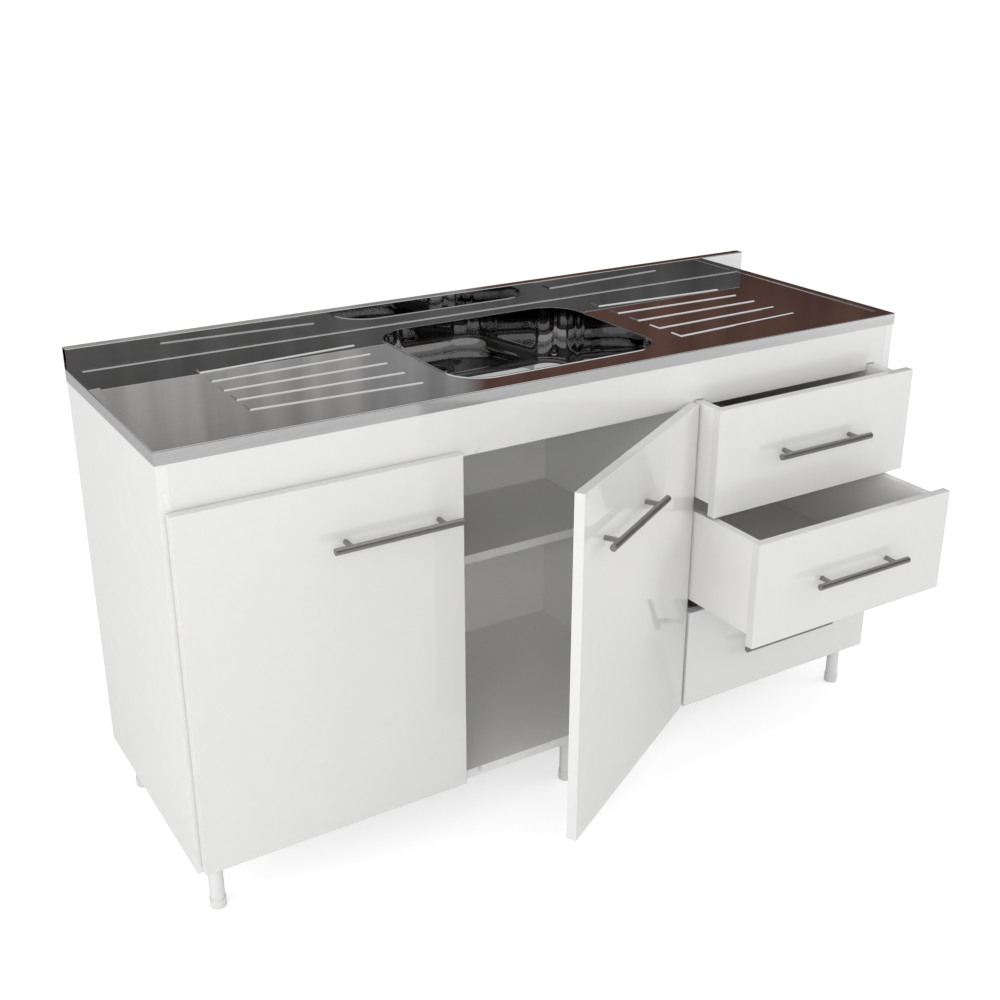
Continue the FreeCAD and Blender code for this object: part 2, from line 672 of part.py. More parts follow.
def round_edges(body, radius, wanted, name):
    """Fillet the edges of the body's last feature that a test picks."""
    document.recompute()
    base = body.Tip
    edges = [f"Edge{index}" for index, edge in enumerate(base.Shape.Edges, start=1) if wanted(edge)]
    fillet = body.newObject("PartDesign::Fillet", name)
    fillet.Base = (base, edges)
    bind(fillet, Radius=radius)
    return fillet


def edge_at(edge, **places):
    """Tell whether all of an edge lies at the given coordinates."""
    box = edge.BoundBox
    spans = {"x": (box.XMin, box.XMax), "y": (box.YMin, box.YMax), "z": (box.ZMin, box.ZMax)}
    return all(abs(end - place) < 0.01 for axis, place in places.items() for end in spans[axis])


def rib_outlines(inset):
    """Outlines of the ten ribs, drawn in from their edges by an inset."""
    outlines = []
    middle = f"({FRONT} + rib_center_back)"
    half = f"(rib_width / 2 - {inset})"
    for side in (-1, 1):
        inner_x = f"{BOWL_X} + {side} * (rib_inner_end + {inset})"
        outer_x = f"{BOWL_X} + {side} * (rib_outer_end - {inset})"
        for row in range(-2, 3):
            inner_y = f"{middle} + {row} * rib_pitch_inner"
            outer_y = f"{middle} + {row} * rib_pitch_outer"
            outlines.append([
                (inner_x, f"{inner_y} - {half}"),
                (outer_x, f"{outer_y} - {half}"),
                (outer_x, f"{outer_y} + {half}"),
                (inner_x, f"{inner_y} + {half}"),
            ])
    return outlines


def steel_worktop():
    """Pressed sheet: folded lips, sunk deck, fanned ribs and hollow upstand."""
    body = prism("steel_worktop", "XY", [
        (f"-{STEEL_HALF}", STEEL_FRONT),
        (STEEL_HALF, STEEL_FRONT),
        (STEEL_HALF, STEEL_REAR),
        (f"-{STEEL_HALF}", STEEL_REAR),
    ], TOP, "lip_height")
    upstand = new_sketch(body, "XY", RIM_TOP)
    draw_rectangle(upstand, f"-{STEEL_HALF}", UPSTAND_FRONT, STEEL_HALF, STEEL_REAR)
    extrude(body, "Pad", upstand, "upstand_height")

    front = number(STEEL_FRONT)
    rim = number(RIM_TOP)
    end = number(STEEL_HALF)
    face = number(UPSTAND_FRONT)
    rear = number(STEEL_REAR)
    crest = number(UPSTAND_TOP)
    round_edges(body, "bend_radius", lambda edge: (
        edge_at(edge, y=front, z=rim)
        or (edge_at(edge, x=end, z=rim) and edge.BoundBox.YMax < face + 0.01)
        or (edge_at(edge, x=-end, z=rim) and edge.BoundBox.YMax < face + 0.01)
        or edge_at(edge, y=face, z=crest)
        or edge_at(edge, y=rear, z=crest)
    ), "steel_worktop_folds")

    # Hollow from below: under the deck, up into the rim, and up into the upstand
    inner_half = f"({STEEL_HALF} - steel_thickness)"
    inner_front = f"({STEEL_FRONT} + steel_thickness)"
    inner_rear = f"({STEEL_REAR} - steel_thickness)"
    inner_face = f"({UPSTAND_FRONT} + steel_thickness)"
    cut_rectangle(body, "XY", (f"-{inner_half}", inner_front, inner_half, inner_rear),
                  TOP, f"{DECK_UNDER} - {TOP}")
    rim_hollow = new_sketch(body, "XY", DECK_UNDER)
    draw_rectangle(rim_hollow, f"-{inner_half}", inner_front, inner_half, inner_face)
    draw_rectangle(rim_hollow, f"-{DECK_HALF} - steel_thickness", f"{DECK_FRONT} - steel_thickness",
                   f"{DECK_HALF} + steel_thickness", f"{DECK_REAR} + steel_thickness")
    extrude(body, "Pocket", rim_hollow, "deck_recess")
    cut_rectangle(body, "XY", (f"-{inner_half}", inner_face, inner_half, inner_rear),
                  DECK_UNDER, f"{UPSTAND_TOP} - steel_thickness - {DECK_UNDER}")
    cut_rectangle(body, "XY", (f"-{STEEL_HALF} - 1", inner_face, f"{STEEL_HALF} + 1", inner_rear),
                  RIM_TOP, "upstand_height - steel_thickness")

    # Sink the deck and press the ribs out of it
    cut_rectangle(body, "XY", (f"-{DECK_HALF}", DECK_FRONT, DECK_HALF, DECK_REAR),
                  RIM_TOP, "deck_recess", -1)
    ribs = new_sketch(body, "XY", DECK)
    for outline in rib_outlines("0"):
        draw_polygon(ribs, outline)
    extrude(body, "Pad", ribs, "rib_height", 1, "rib_flank_angle")
    hollows = new_sketch(body, "XY", DECK_UNDER)
    for outline in rib_outlines("(steel_thickness * tan((90 - rib_flank_angle) / 2))"):
        draw_polygon(hollows, outline)
    extrude(body, "Pocket", hollows, "rib_height", 1, "rib_flank_angle")

    # Bead round the bowl, then the opening that the bowl is welded into
    bead = new_sketch(body, "XY", DECK)
    growth = "2 * steel_thickness + 2 * bowl_bead_width"
    draw_round_rectangle(bead, BOWL_CENTER, f"(bowl_length + {growth})", f"(bowl_width + {growth})",
                         "(bowl_corner_radius + steel_thickness + bowl_bead_width)")
    extrude(body, "Pad", bead, "bowl_bead_height", 1, "45")
    opening = new_sketch(body, "XY", f"{DECK} + bowl_bead_height")
    draw_round_rectangle(opening, BOWL_CENTER, "(bowl_length + 2 * steel_thickness)",
                         "(bowl_width + 2 * steel_thickness)", "(bowl_corner_radius + steel_thickness)")
    extrude(body, "Pocket", opening, "bowl_bead_height + steel_thickness + rib_height", -1)
    return keep("steel_worktop", body)


def bowl_form(name, growth, depth):
    """Solid form of the bowl, grown on every side: sloping walls and a round floor edge."""
    body = new_body(name)
    outline = new_sketch(body, "XY", DECK)
    draw_round_rectangle(outline, BOWL_CENTER, f"(bowl_length + 2 * {growth})",
                         f"(bowl_width + 2 * {growth})", f"(bowl_corner_radius + {growth})")
    extrude(body, "Pad", outline, depth, -1, "bowl_draft")
    floor = number(f"{DECK} - ({depth})")
    round_edges(body, f"bowl_floor_radius + {growth}", lambda edge: edge_at(edge, z=floor), f"{name}_floor_edge")
    return body


def sink_bowl():
    """Drawn bowl of sheet, with the hole for the waste in its floor."""
    outside = bowl_form("bowl_outside", "steel_thickness", "bowl_depth + steel_thickness")
    cut_circle(outside, "XY", *BOWL_CENTER, "waste_hole_radius",
               f"{BOWL_FLOOR} + steel_thickness", "4 * steel_thickness", -1)
    shell = document.addObject("Part::Cut", "sink_bowl")
    shell.Base = outside
    shell.Tool = bowl_form("bowl_inside", "0", "bowl_depth")
    return keep("sink_bowl", shell)


worktop_core()
steel_worktop()
sink_bowl()

# ---------------------------------------------------------------- waste

BODY_LOW = f"({BOWL_FLOOR} - waste_body_depth)"
FLOOR_UNDER = f"({BOWL_FLOOR} - steel_thickness)"
BODY_INNER = "(waste_body_radius - waste_body_wall)"

keep("strainer_flange", revolve("strainer_flange", [
    ("waste_body_radius", BOWL_FLOOR),
    ("waste_flange_radius", BOWL_FLOOR),
    ("waste_flange_radius - waste_flange_thickness", f"{BOWL_FLOOR} + waste_flange_thickness"),
    (f"{BODY_INNER}", f"{BOWL_FLOOR} + waste_flange_thickness"),
    (BODY_INNER, f"{BODY_LOW} + waste_body_wall"),
    ("waste_spigot_radius - waste_body_wall", f"{BODY_LOW} + waste_body_wall"),
    ("waste_spigot_radius - waste_body_wall", f"{BODY_LOW} - waste_spigot_length"),
    ("waste_spigot_radius", f"{BODY_LOW} - waste_spigot_length"),
    ("waste_spigot_radius", BODY_LOW),
    ("waste_body_radius", BODY_LOW),
], *BOWL_CENTER))

keep("waste_gasket", revolve("waste_gasket", [
    ("waste_body_radius + seat_clearance", f"{FLOOR_UNDER} - gasket_thickness"),
    ("gasket_radius", f"{FLOOR_UNDER} - gasket_thickness"),
    ("gasket_radius", FLOOR_UNDER),
    ("waste_body_radius + seat_clearance", FLOOR_UNDER),
], *BOWL_CENTER))

NUT_TOP = f"({FLOOR_UNDER} - gasket_thickness)"
NUT_LOW = f"({NUT_TOP} - waste_nut_height)"
waste_nut = keep("waste_nut", revolve("waste_nut", [
    ("waste_body_radius + seat_clearance", NUT_LOW),
    ("waste_nut_radius", NUT_LOW),
    ("waste_nut_radius", NUT_TOP),
    ("waste_body_radius + seat_clearance", NUT_TOP),
], *BOWL_CENTER))
nut_notch = cut_circle(waste_nut, "XY", "waste_nut_radius + waste_nut_notch_offset", "0", "waste_nut_notch",
                       NUT_LOW, "waste_nut_height")
around(waste_nut, nut_notch, "waste_nut_notch_count", "waste_nut_notches")

keep("waste_tailpiece", revolve("waste_tailpiece", [
    ("tailpiece_radius - tailpiece_wall", f"{BODY_LOW} - tailpiece_length"),
    ("tailpiece_radius", f"{BODY_LOW} - tailpiece_length"),
    ("tailpiece_radius", BODY_LOW),
    ("tailpiece_radius - tailpiece_wall", BODY_LOW),
], *BOWL_CENTER))

BASKET_LOW = f"({BODY_LOW} + waste_body_wall + basket_lift_gap)"
BASKET_FLOOR = f"({BASKET_LOW} + basket_wall)"
BASKET_TOP = f"({BASKET_LOW} + basket_height)"
basket = keep("strainer_basket", revolve("strainer_basket", [
    ("0", BASKET_LOW),
    ("basket_radius - basket_taper", BASKET_LOW),
    ("basket_radius", BASKET_TOP),
    ("basket_radius - basket_wall", BASKET_TOP),
    ("basket_radius - basket_taper - basket_wall", BASKET_FLOOR),
    ("basket_knob_radius / 2", BASKET_FLOOR),
    ("basket_knob_radius / 2", f"{BASKET_FLOOR} + basket_knob_height / 2"),
    ("basket_knob_radius", f"{BASKET_FLOOR} + basket_knob_height"),
    ("0", f"{BASKET_FLOOR} + basket_knob_height"),
], *BOWL_CENTER))
basket_hole = cut_circle(basket, "XY", "basket_hole_ring", "0", "basket_hole_radius",
                         f"{BASKET_LOW} - basket_wall", "3 * basket_wall")
around(basket, basket_hole, "basket_hole_count", "strainer_basket_holes")

# ---------------------------------------------------------------- handles and fronts


def handle(label, x, y, z):
    """Bar handle on two posts, ahead of a front whose face is at y."""
    body = new_body(label)
    bar_y = f"({y} - handle_standoff)"
    bar = new_sketch(body, "YZ", f"{x} - handle_length / 2")
    draw_circle(bar, bar_y, z, "handle_bar_radius")
    extrude(body, "Pad", bar, "handle_length")
    posts = new_sketch(body, "XZ", bar_y)
    for side in (-1, 1):
        draw_circle(posts, f"{x} + {side} * handle_post_spacing / 2", z, "handle_post_radius")
    extrude(body, "Pad", posts, "handle_standoff")
    return keep(label, body)


def front_board(name, left, right, low, high, back):
    """A door or drawer front with eased front edges; back is its rear face."""
    body = prism(name, "XZ", [(left, low), (right, low), (right, high), (left, high)],
                 f"{back} - front_thickness", "front_thickness")
    face = number(f"{back} - front_thickness")
    round_edges(body, "front_edge_radius", lambda edge: edge_at(edge, y=face), f"{name}_eased_edges")
    return keep(name, body)


# ---------------------------------------------------------------- doors

HINGE_HEIGHTS = (f"({FRONTS_LOW} + hinge_end_inset)", f"({FRONTS_HIGH} - hinge_end_inset)")
PIVOT_Y = f"({FRONT_BACK_FACE} - hinge_pivot_depth)"
CUP_DEPTH = "(hinge_pivot_depth + arm_eye_radius + arm_eye_clearance + cup_wall)"
CUP_X = "(hinge_pivot_inset - cup_edge_distance - cup_radius)"
# The pin ends just inside the cup's outside
PIN_LENGTH = f"(2 * (sqrt(cup_radius ^ 2 - (hinge_pin_radius - {CUP_X}) ^ 2) - seat_clearance))"


def stand_at_pivot(thing, pivot_x, angle):
    """Place a piece that is drawn about its door's pivot."""
    bind(thing, Placement__Base__x=pivot_x, Placement__Base__y=PIVOT_Y)
    bind(thing, Placement__Rotation__Angle=angle)
    return thing


def hinge_cup(name, sign, height):
    """Cup with its screw wings, drawn about the pivot, sunk in the door's back."""
    center_x = f"{sign} * {CUP_X}"
    back = "hinge_pivot_depth"
    body = new_body(name)
    cup = new_sketch(body, "XZ", back)
    draw_circle(cup, center_x, height, "cup_radius")
    extrude(body, "Pad", cup, CUP_DEPTH, -1)
    wing_x = f"({center_x} - {sign} * cup_wing_offset)"
    wing = new_sketch(body, "XZ", back)
    draw_round_rectangle(wing, (wing_x, height), "cup_wing_width", "cup_wing_length", "cup_wing_corner")
    extrude(body, "Pad", wing, "cup_wing_thickness")
    hollow = new_sketch(body, "XZ", f"{back} + cup_wing_thickness")
    draw_circle(hollow, center_x, height, "cup_radius - cup_wall")
    extrude(body, "Pocket", hollow, f"cup_wing_thickness + {CUP_DEPTH} - cup_wall", -1)
    cut_circle(body, "XY", "0", "0", "hinge_pin_radius", f"{height} - cup_radius", "2 * cup_radius")
    return body


def hinge_pin(name, height):
    """Steel pin through the walls of the cup, at the pivot."""
    body = new_body(name)
    outline = new_sketch(body, "XY", f"{height} - {PIN_LENGTH} / 2")
    draw_circle(outline, "0", "0", "hinge_pin_radius")
    extrude(body, "Pad", outline, PIN_LENGTH)
    return body


def door(side, sign, hinged_edge, angle, handle_inset):
    """One door with its handle, hinge cups and pins, drawn about the pivot."""
    pivot_x = f"({hinged_edge} - {sign} * hinge_pivot_inset)"
    edges = [f"{sign} * hinge_pivot_inset", f"{sign} * (hinge_pivot_inset - {FRONT_WIDTH})"]
    left, right = edges if sign < 0 else reversed(edges)
    panel = front_board(f"{side}_door_panel", left, right, FRONTS_LOW, FRONTS_HIGH, "hinge_pivot_depth")
    for height in HINGE_HEIGHTS:
        cut_circle(panel, "XZ", f"{sign} * {CUP_X}", height, "cup_radius + seat_clearance",
                   "hinge_pivot_depth", f"{CUP_DEPTH} + seat_clearance", -1)
    face = "(hinge_pivot_depth - front_thickness)"
    handle_x = f"({sign} * (hinge_pivot_inset - ({handle_inset})))"
    pieces = [panel, handle(f"{side}_door_handle", handle_x, face, f"({FRONTS_HIGH} - door_handle_drop)")]
    cups = [hinge_cup(f"{side}_hinge_cup_{place}", sign, height)
            for place, height in enumerate(HINGE_HEIGHTS, start=1)]
    pins = [hinge_pin(f"{side}_hinge_pin_{place}", height)
            for place, height in enumerate(HINGE_HEIGHTS, start=1)]
    pieces.append(group(f"{side}_door_hinge_cups", cups))
    pieces.append(group(f"{side}_door_hinge_pins", pins))
    for piece in pieces:
        stand_at_pivot(piece, pivot_x, angle)


LEFT_EDGE = f"(-{FRONTS_RIGHT})"
RIGHT_DOOR_EDGE = f"({DRAWER_LEFT} - front_gap)"
door("left", -1, LEFT_EDGE, "-left_door_angle", "door_handle_inset + door_handle_lean")
door("right", 1, RIGHT_DOOR_EDGE, "right_door_angle", "door_handle_inset")


def hinge_arm(name, sign, hinged_edge, height):
    """Cranked arm: an eye on the pin, a short reach, then a run beside the panel."""
    pivot_x = f"({hinged_edge} - {sign} * hinge_pivot_inset)"
    half = "(arm_thickness / 2)"
    near = f"{pivot_x} - {sign} * (arm_reach - {half})"
    far = f"{pivot_x} - {sign} * (arm_reach + {half})"
    body = prism(name, "XY", [
        (pivot_x, f"{PIVOT_Y} - {half}"),
        (far, f"{PIVOT_Y} - {half}"),
        (far, f"{PIVOT_Y} + arm_length"),
        (near, f"{PIVOT_Y} + arm_length"),
        (near, f"{PIVOT_Y} + {half}"),
        (pivot_x, f"{PIVOT_Y} + {half}"),
    ], f"{height} - arm_width / 2", "arm_width")
    eye = new_sketch(body, "XY", f"{height} - arm_width / 2")
    draw_circle(eye, pivot_x, PIVOT_Y, "arm_eye_radius")
    extrude(body, "Pad", eye, "arm_width")
    cut_circle(body, "XY", pivot_x, PIVOT_Y, "hinge_pin_radius + hinge_pin_clearance",
               f"{height} - arm_width / 2", "arm_width")
    return body


def hinge_plate(name, sign, hinged_edge, panel_face, height):
    """Mounting plate: wings on the panel and a raised seat under the arm."""
    pivot_x = f"({hinged_edge} - {sign} * hinge_pivot_inset)"
    arm_face = f"({pivot_x} - {sign} * (arm_reach - arm_thickness / 2))"
    seat_rear = f"({PIVOT_Y} + arm_length - plate_rear_inset)"
    seat_front = f"({seat_rear} - plate_seat_length)"
    body = prism(name, "XY", [
        (panel_face, seat_front), (arm_face, seat_front), (arm_face, seat_rear), (panel_face, seat_rear),
    ], f"{height} - arm_width / 2", "arm_width")
    wing_face = f"{panel_face} - {sign} * plate_wing_thickness"
    middle = f"({seat_front} + {seat_rear}) / 2"
    wings = new_sketch(body, "XY", f"{height} - plate_wing_length / 2")
    draw_rectangle(wings, panel_face, f"{middle} - plate_wing_width / 2", wing_face,
                   f"{middle} + plate_wing_width / 2")
    extrude(body, "Pad", wings, "plate_wing_length")
    return body


arms = []
plates = []
for side, sign, edge, panel_face in (
    ("left", -1, LEFT_EDGE, f"(-{INNER_HALF})"),
    ("right", 1, RIGHT_DOOR_EDGE, DIVIDER_LEFT),
):
    for place, height in enumerate(HINGE_HEIGHTS, start=1):
        arms.append(hinge_arm(f"{side}_hinge_arm_{place}", sign, edge, height))
        plates.append(hinge_plate(f"{side}_hinge_plate_{place}", sign, edge, panel_face, height))
group("hinge_arms", arms)
group("hinge_plates", plates)

# ---------------------------------------------------------------- drawers

DRAWER_HEIGHT = f"(({FRONTS_HEIGHT} - 2 * front_gap) / 3)"
DRAWER_PITCH = f"({DRAWER_HEIGHT} + front_gap)"
BOX_REAR = f"({FRONT_BACK_FACE} + drawer_box_length)"
SIDES = (("left", 1, DRAWER_LEFT), ("right", -1, DRAWER_RIGHT))
RAIL_FRONT_END = f"({FRONT} + runner_front_inset)"


def drawer_side(label, sign, outer, low, high):
    """A drawer side with the groove that holds the drawer bottom."""
    inner = f"{outer} + {sign} * drawer_side_thickness"
    groove = f"{inner} - {sign} * (drawer_groove_depth + groove_clearance)"
    groove_low = f"{low} + drawer_bottom_rise"
    groove_high = f"{groove_low} + drawer_bottom_thickness + groove_clearance"
    return keep(label, prism(label, "XZ", [
        (outer, low),
        (inner, low),
        (inner, groove_low),
        (groove, groove_low),
        (groove, groove_high),
        (inner, groove_high),
        (inner, high),
        (outer, high),
    ], FRONT_BACK_FACE, "drawer_box_length"))


def drawer_slide(name, sign, outer, low):
    """Runner member under the drawer: foot, outer leg, top and inner leg, with a rear tab."""
    inner = f"({outer} + {sign} * drawer_side_thickness)"
    top = f"({low} + drawer_bottom_rise)"
    body = prism(name, "XZ", [
        (f"{outer} + {sign} * slide_foot_inset", f"{low} - runner_sheet"),
        (f"{inner} + {sign} * runner_sheet", f"{low} - runner_sheet"),
        (f"{inner} + {sign} * runner_sheet", f"{top} - runner_sheet"),
        (f"{inner} + {sign} * (slide_width - runner_sheet)", f"{top} - runner_sheet"),
        (f"{inner} + {sign} * (slide_width - runner_sheet)", f"{top} - slide_leg_drop"),
        (f"{inner} + {sign} * slide_width", f"{top} - slide_leg_drop"),
        (f"{inner} + {sign} * slide_width", top),
        (inner, top),
        (inner, low),
        (f"{outer} + {sign} * slide_foot_inset", low),
    ], FRONT_BACK_FACE, "runner_length")
    tab = new_sketch(body, "XZ", f"{FRONT_BACK_FACE} + runner_length - slide_tab_length")
    draw_rectangle(tab, inner, f"{low} - slide_tab_drop", f"{inner} + {sign} * runner_sheet", low)
    extrude(body, "Pad", tab, "slide_tab_length")
    return body


def cabinet_rail(name, sign, outer, low):
    """Fixed runner member: web on the panel and a lipped channel under the drawer."""
    web = f"({outer} - {sign} * runner_side_gap)"
    inner = f"({outer} + {sign} * drawer_side_thickness)"
    floor = f"({low} - rail_drop)"
    wall = f"({inner} + {sign} * rail_channel_width)"
    lip_top = f"({low} + rail_lip_height)"
    lip_end = f"{wall} - {sign} * rail_lip_width"
    body = prism(name, "XZ", [
        (web, f"{floor} + rail_web_height"),
        (web, floor),
        (wall, floor),
        (wall, lip_top),
        (lip_end, lip_top),
        (lip_end, f"{lip_top} - runner_sheet"),
        (f"{wall} - {sign} * runner_sheet", f"{lip_top} - runner_sheet"),
        (f"{wall} - {sign} * runner_sheet", f"{floor} + runner_sheet"),
        (f"{web} + {sign} * runner_sheet", f"{floor} + runner_sheet"),
        (f"{web} + {sign} * runner_sheet", f"{floor} + rail_web_height"),
    ], RAIL_FRONT_END, "runner_length")
    notch = new_sketch(body, "XZ", RAIL_FRONT_END)
    draw_rectangle(notch, f"{lip_end} - {sign} * runner_sheet", f"{lip_top} - 2 * runner_sheet",
                   f"{wall} - {sign} * runner_sheet", f"{lip_top} + runner_sheet")
    extrude(body, "Pocket", notch, "rail_lip_notch")
    return body


def roller(name, sign, face, y, z):
    """Nylon roller on an axle boss that stands on a member's face."""
    body = new_body(name)
    boss = new_sketch(body, "YZ", face)
    draw_circle(boss, y, z, "roller_axle_radius")
    extrude(body, "Pad", boss, "roller_side_gap", sign)
    wheel = new_sketch(body, "YZ", f"{face} + {sign} * roller_side_gap")
    draw_circle(wheel, y, z, "roller_radius")
    extrude(body, "Pad", wheel, "roller_width", sign)
    return body


def drawer(number_down, opening):
    """One drawer: front, box, handle, slides and rollers, drawn shut."""
    name = f"drawer_{number_down}"
    front_high = f"({FRONTS_HIGH} - {number_down - 1} * {DRAWER_PITCH})"
    front_low = f"({front_high} - {DRAWER_HEIGHT})"
    low = f"({front_low} + drawer_side_rise)"
    pieces = [
        front_board(f"{name}_front", DRAWER_LEFT, FRONTS_RIGHT, front_low, front_high, FRONT_BACK_FACE),
        handle(f"{name}_handle", f"({DRAWER_LEFT} + {FRONT_WIDTH} / 2)",
               f"({FRONT_BACK_FACE} - front_thickness)", f"({front_low} + {DRAWER_HEIGHT} / 2)"),
    ]
    for side, sign, outer in SIDES:
        pieces.append(drawer_side(f"{name}_{side}_side", sign, outer, low, front_high))
    inner_width = f"({DRAWER_RIGHT} - {DRAWER_LEFT} - 2 * drawer_side_thickness)"
    bottom_low = f"({low} + drawer_bottom_rise)"
    back_low = f"({bottom_low} + drawer_bottom_thickness)"
    slides = [drawer_slide(f"{name}_{side}_slide", sign, outer, low) for side, sign, outer in SIDES]
    pieces.append(group(f"{name}_slides", slides))
    rear_rollers = []
    roller_y = f"({FRONT_BACK_FACE} + runner_length - roller_end_inset)"
    roller_z = f"({low} - rail_drop + runner_sheet + roller_clearance + roller_radius)"
    for side, sign, outer in SIDES:
        leg_face = f"({outer} + {sign} * (drawer_side_thickness + runner_sheet))"
        rear_rollers.append(roller(f"{name}_{side}_rear_roller", sign, leg_face, roller_y, roller_z))
    pieces.append(group(f"{name}_rollers", rear_rollers))
    for piece in pieces:
        bind(piece, Placement__Base__y=f"-{opening}")
    boards = [
        board(f"{name}_bottom", f"{inner_width} + 2 * drawer_groove_depth", "drawer_box_length",
              "drawer_bottom_thickness", f"{DRAWER_LEFT} + drawer_side_thickness - drawer_groove_depth",
              f"{FRONT_BACK_FACE} - {opening}", bottom_low),
        board(f"{name}_back", inner_width, "drawer_side_thickness",
              f"{front_high} - drawer_back_drop - {back_low}", f"{DRAWER_LEFT} + drawer_side_thickness",
              f"{BOX_REAR} - drawer_side_thickness - {opening}", back_low),
    ]
    for piece in boards:
        keep(piece.Name, piece)
    return low


rails = []
front_rollers = []
packers = []
for number_down in (1, 2, 3):
    low = drawer(number_down, f"drawer_{number_down}_opening")
    for side, sign, outer in SIDES:
        rails.append(cabinet_rail(f"cabinet_rail_{side}_{number_down}", sign, outer, low))
        wall_face = (
            f"({outer} + {sign} * (drawer_side_thickness + rail_channel_width - runner_sheet))"
        )
        roller_y = f"({RAIL_FRONT_END} + roller_end_inset)"
        roller_z = f"({low} + drawer_bottom_rise - runner_sheet - roller_clearance - roller_radius)"
        front_rollers.append(
            roller(f"front_roller_{side}_{number_down}", -sign, wall_face, roller_y, roller_z)
        )
    packers.append(board(
        f"runner_packer_{number_down}", "packer_thickness",
        "runner_length", "packer_height", f"{INNER_HALF} - packer_thickness",
        RAIL_FRONT_END, f"{low} - rail_drop",
    ))
group("cabinet_rails", rails)
group("cabinet_rail_rollers", front_rollers)
group("runner_packers", packers)

# ---------------------------------------------------------------- buffers

BUMPER_LENGTH = "(front_standoff - bumper_clearance)"
BUMPER_Y = f"({FRONT} - {BUMPER_LENGTH})"
HIGH_ROW = f"({FASCIA_LOW} + fascia_overlap / 2)"
LOW_ROW = f"(({FRONTS_LOW} + {BOTTOM_TOP}) / 2)"
END_COLUMN = f"(({FRONTS_RIGHT} + {INNER_HALF}) / 2)"
bumper_places = [
    (f"({LEFT_EDGE} + {FRONT_WIDTH} - bumper_inset)", HIGH_ROW),
    (f"({LEFT_EDGE} + {FRONT_WIDTH} - bumper_inset)", LOW_ROW),
    (f"({RIGHT_DOOR_EDGE} - {FRONT_WIDTH} + bumper_inset)", HIGH_ROW),
    (f"({RIGHT_DOOR_EDGE} - {FRONT_WIDTH} + bumper_inset)", LOW_ROW),
]
for number_down in (1, 2, 3):
    middle = f"{FRONTS_HIGH} - {number_down - 1} * {DRAWER_PITCH} - {DRAWER_HEIGHT} / 2"
    bumper_places.append((END_COLUMN, f"({middle} + bumper_inset)"))
    bumper_places.append((END_COLUMN, f"({middle} - bumper_inset)"))
bumpers = [
    cylinder(f"front_bumper_{place}", "bumper_radius", BUMPER_LENGTH, x, BUMPER_Y, z, "Y")
    for place, (x, z) in enumerate(bumper_places, start=1)
]
group("front_bumpers", bumpers)

# ---------------------------------------------------------------- check and write

document.recompute()
for thing in document.Objects:
    if "Invalid" in thing.State or "Error" in thing.State:
        raise RuntimeError(f"{thing.Label} failed: {thing.State}")
for thing in sub_parts:
    if thing.Shape.isNull() or not thing.Shape.isValid():
        raise RuntimeError(f"{thing.Label} has no valid shape")

os.makedirs("parts", exist_ok=True)
for thing in sub_parts:
    thing.Shape.exportStep(f"parts/{thing.Label}.step")
    box = thing.Shape.BoundBox
    print(
        f"{thing.Label}: {len(thing.Shape.Solids)} solids,"
        f" x {box.XMin:.2f} to {box.XMax:.2f},"
        f" y {box.YMin:.2f} to {box.YMax:.2f},"
        f" z {box.ZMin:.2f} to {box.ZMax:.2f}"
    )
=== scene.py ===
"""Kitchen sink unit with a pressed stainless worktop, two doors and three drawers.

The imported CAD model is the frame. Each class below is one sub-assembly: it replaces CAD
nodes with finer pieces, adds the small fixings, and dresses them.
"""
import logging
import math
from collections.abc import Callable, Iterable, Sequence
from dataclasses import dataclass
from enum import Enum
from functools import cache

import bmesh
import bpy
from mathutils import Matrix, Vector


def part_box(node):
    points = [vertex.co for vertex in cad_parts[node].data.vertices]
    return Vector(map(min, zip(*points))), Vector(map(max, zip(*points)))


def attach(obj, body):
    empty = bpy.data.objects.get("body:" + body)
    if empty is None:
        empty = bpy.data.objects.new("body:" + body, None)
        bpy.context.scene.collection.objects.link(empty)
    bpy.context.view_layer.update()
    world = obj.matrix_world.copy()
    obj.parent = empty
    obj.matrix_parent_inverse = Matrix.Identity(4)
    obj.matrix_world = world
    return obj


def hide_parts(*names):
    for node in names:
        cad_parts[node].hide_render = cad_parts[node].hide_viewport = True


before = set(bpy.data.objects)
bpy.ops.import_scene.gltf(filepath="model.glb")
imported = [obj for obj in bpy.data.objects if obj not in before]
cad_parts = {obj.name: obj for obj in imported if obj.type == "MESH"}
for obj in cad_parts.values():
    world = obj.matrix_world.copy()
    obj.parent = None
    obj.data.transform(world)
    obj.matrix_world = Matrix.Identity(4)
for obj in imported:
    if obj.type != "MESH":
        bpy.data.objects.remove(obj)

LOG = logging.getLogger("sink_unit")
MM = 0.001
SOFT_EDGE = math.radians(50.0)
FLAT_WITHIN = math.radians(0.3)
MERGE_GAP = 0.002 * MM
EVEN = (1.0, 1.0, 1.0)
WHITE = (1.0, 1.0, 1.0, 1.0)
BLACK = (0.0, 0.0, 0.0, 1.0)
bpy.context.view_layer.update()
Colour = tuple[float, float, float]
Socket = bpy.types.NodeSocket
Tree = bpy.types.NodeTree
Material = bpy.types.Material
Shape = bmesh.types.BMesh
Edge = bmesh.types.BMEdge
Face = bmesh.types.BMFace


class Axis(Enum):
    """World axes, by the vector along them."""

    X = (1.0, 0.0, 0.0)
    Y = (0.0, 1.0, 0.0)
    Z = (0.0, 0.0, 1.0)


class Grain(Enum):
    """Direction in which a metal's polishing lines run, as a stretch of the pattern."""

    ALONG_X = (0.03, 1.0, 1.0)
    ALONG_Y = (1.0, 0.03, 1.0)
    ALONG_Z = (1.0, 1.0, 0.03)
    NONE = EVEN


# ---------------- wiring


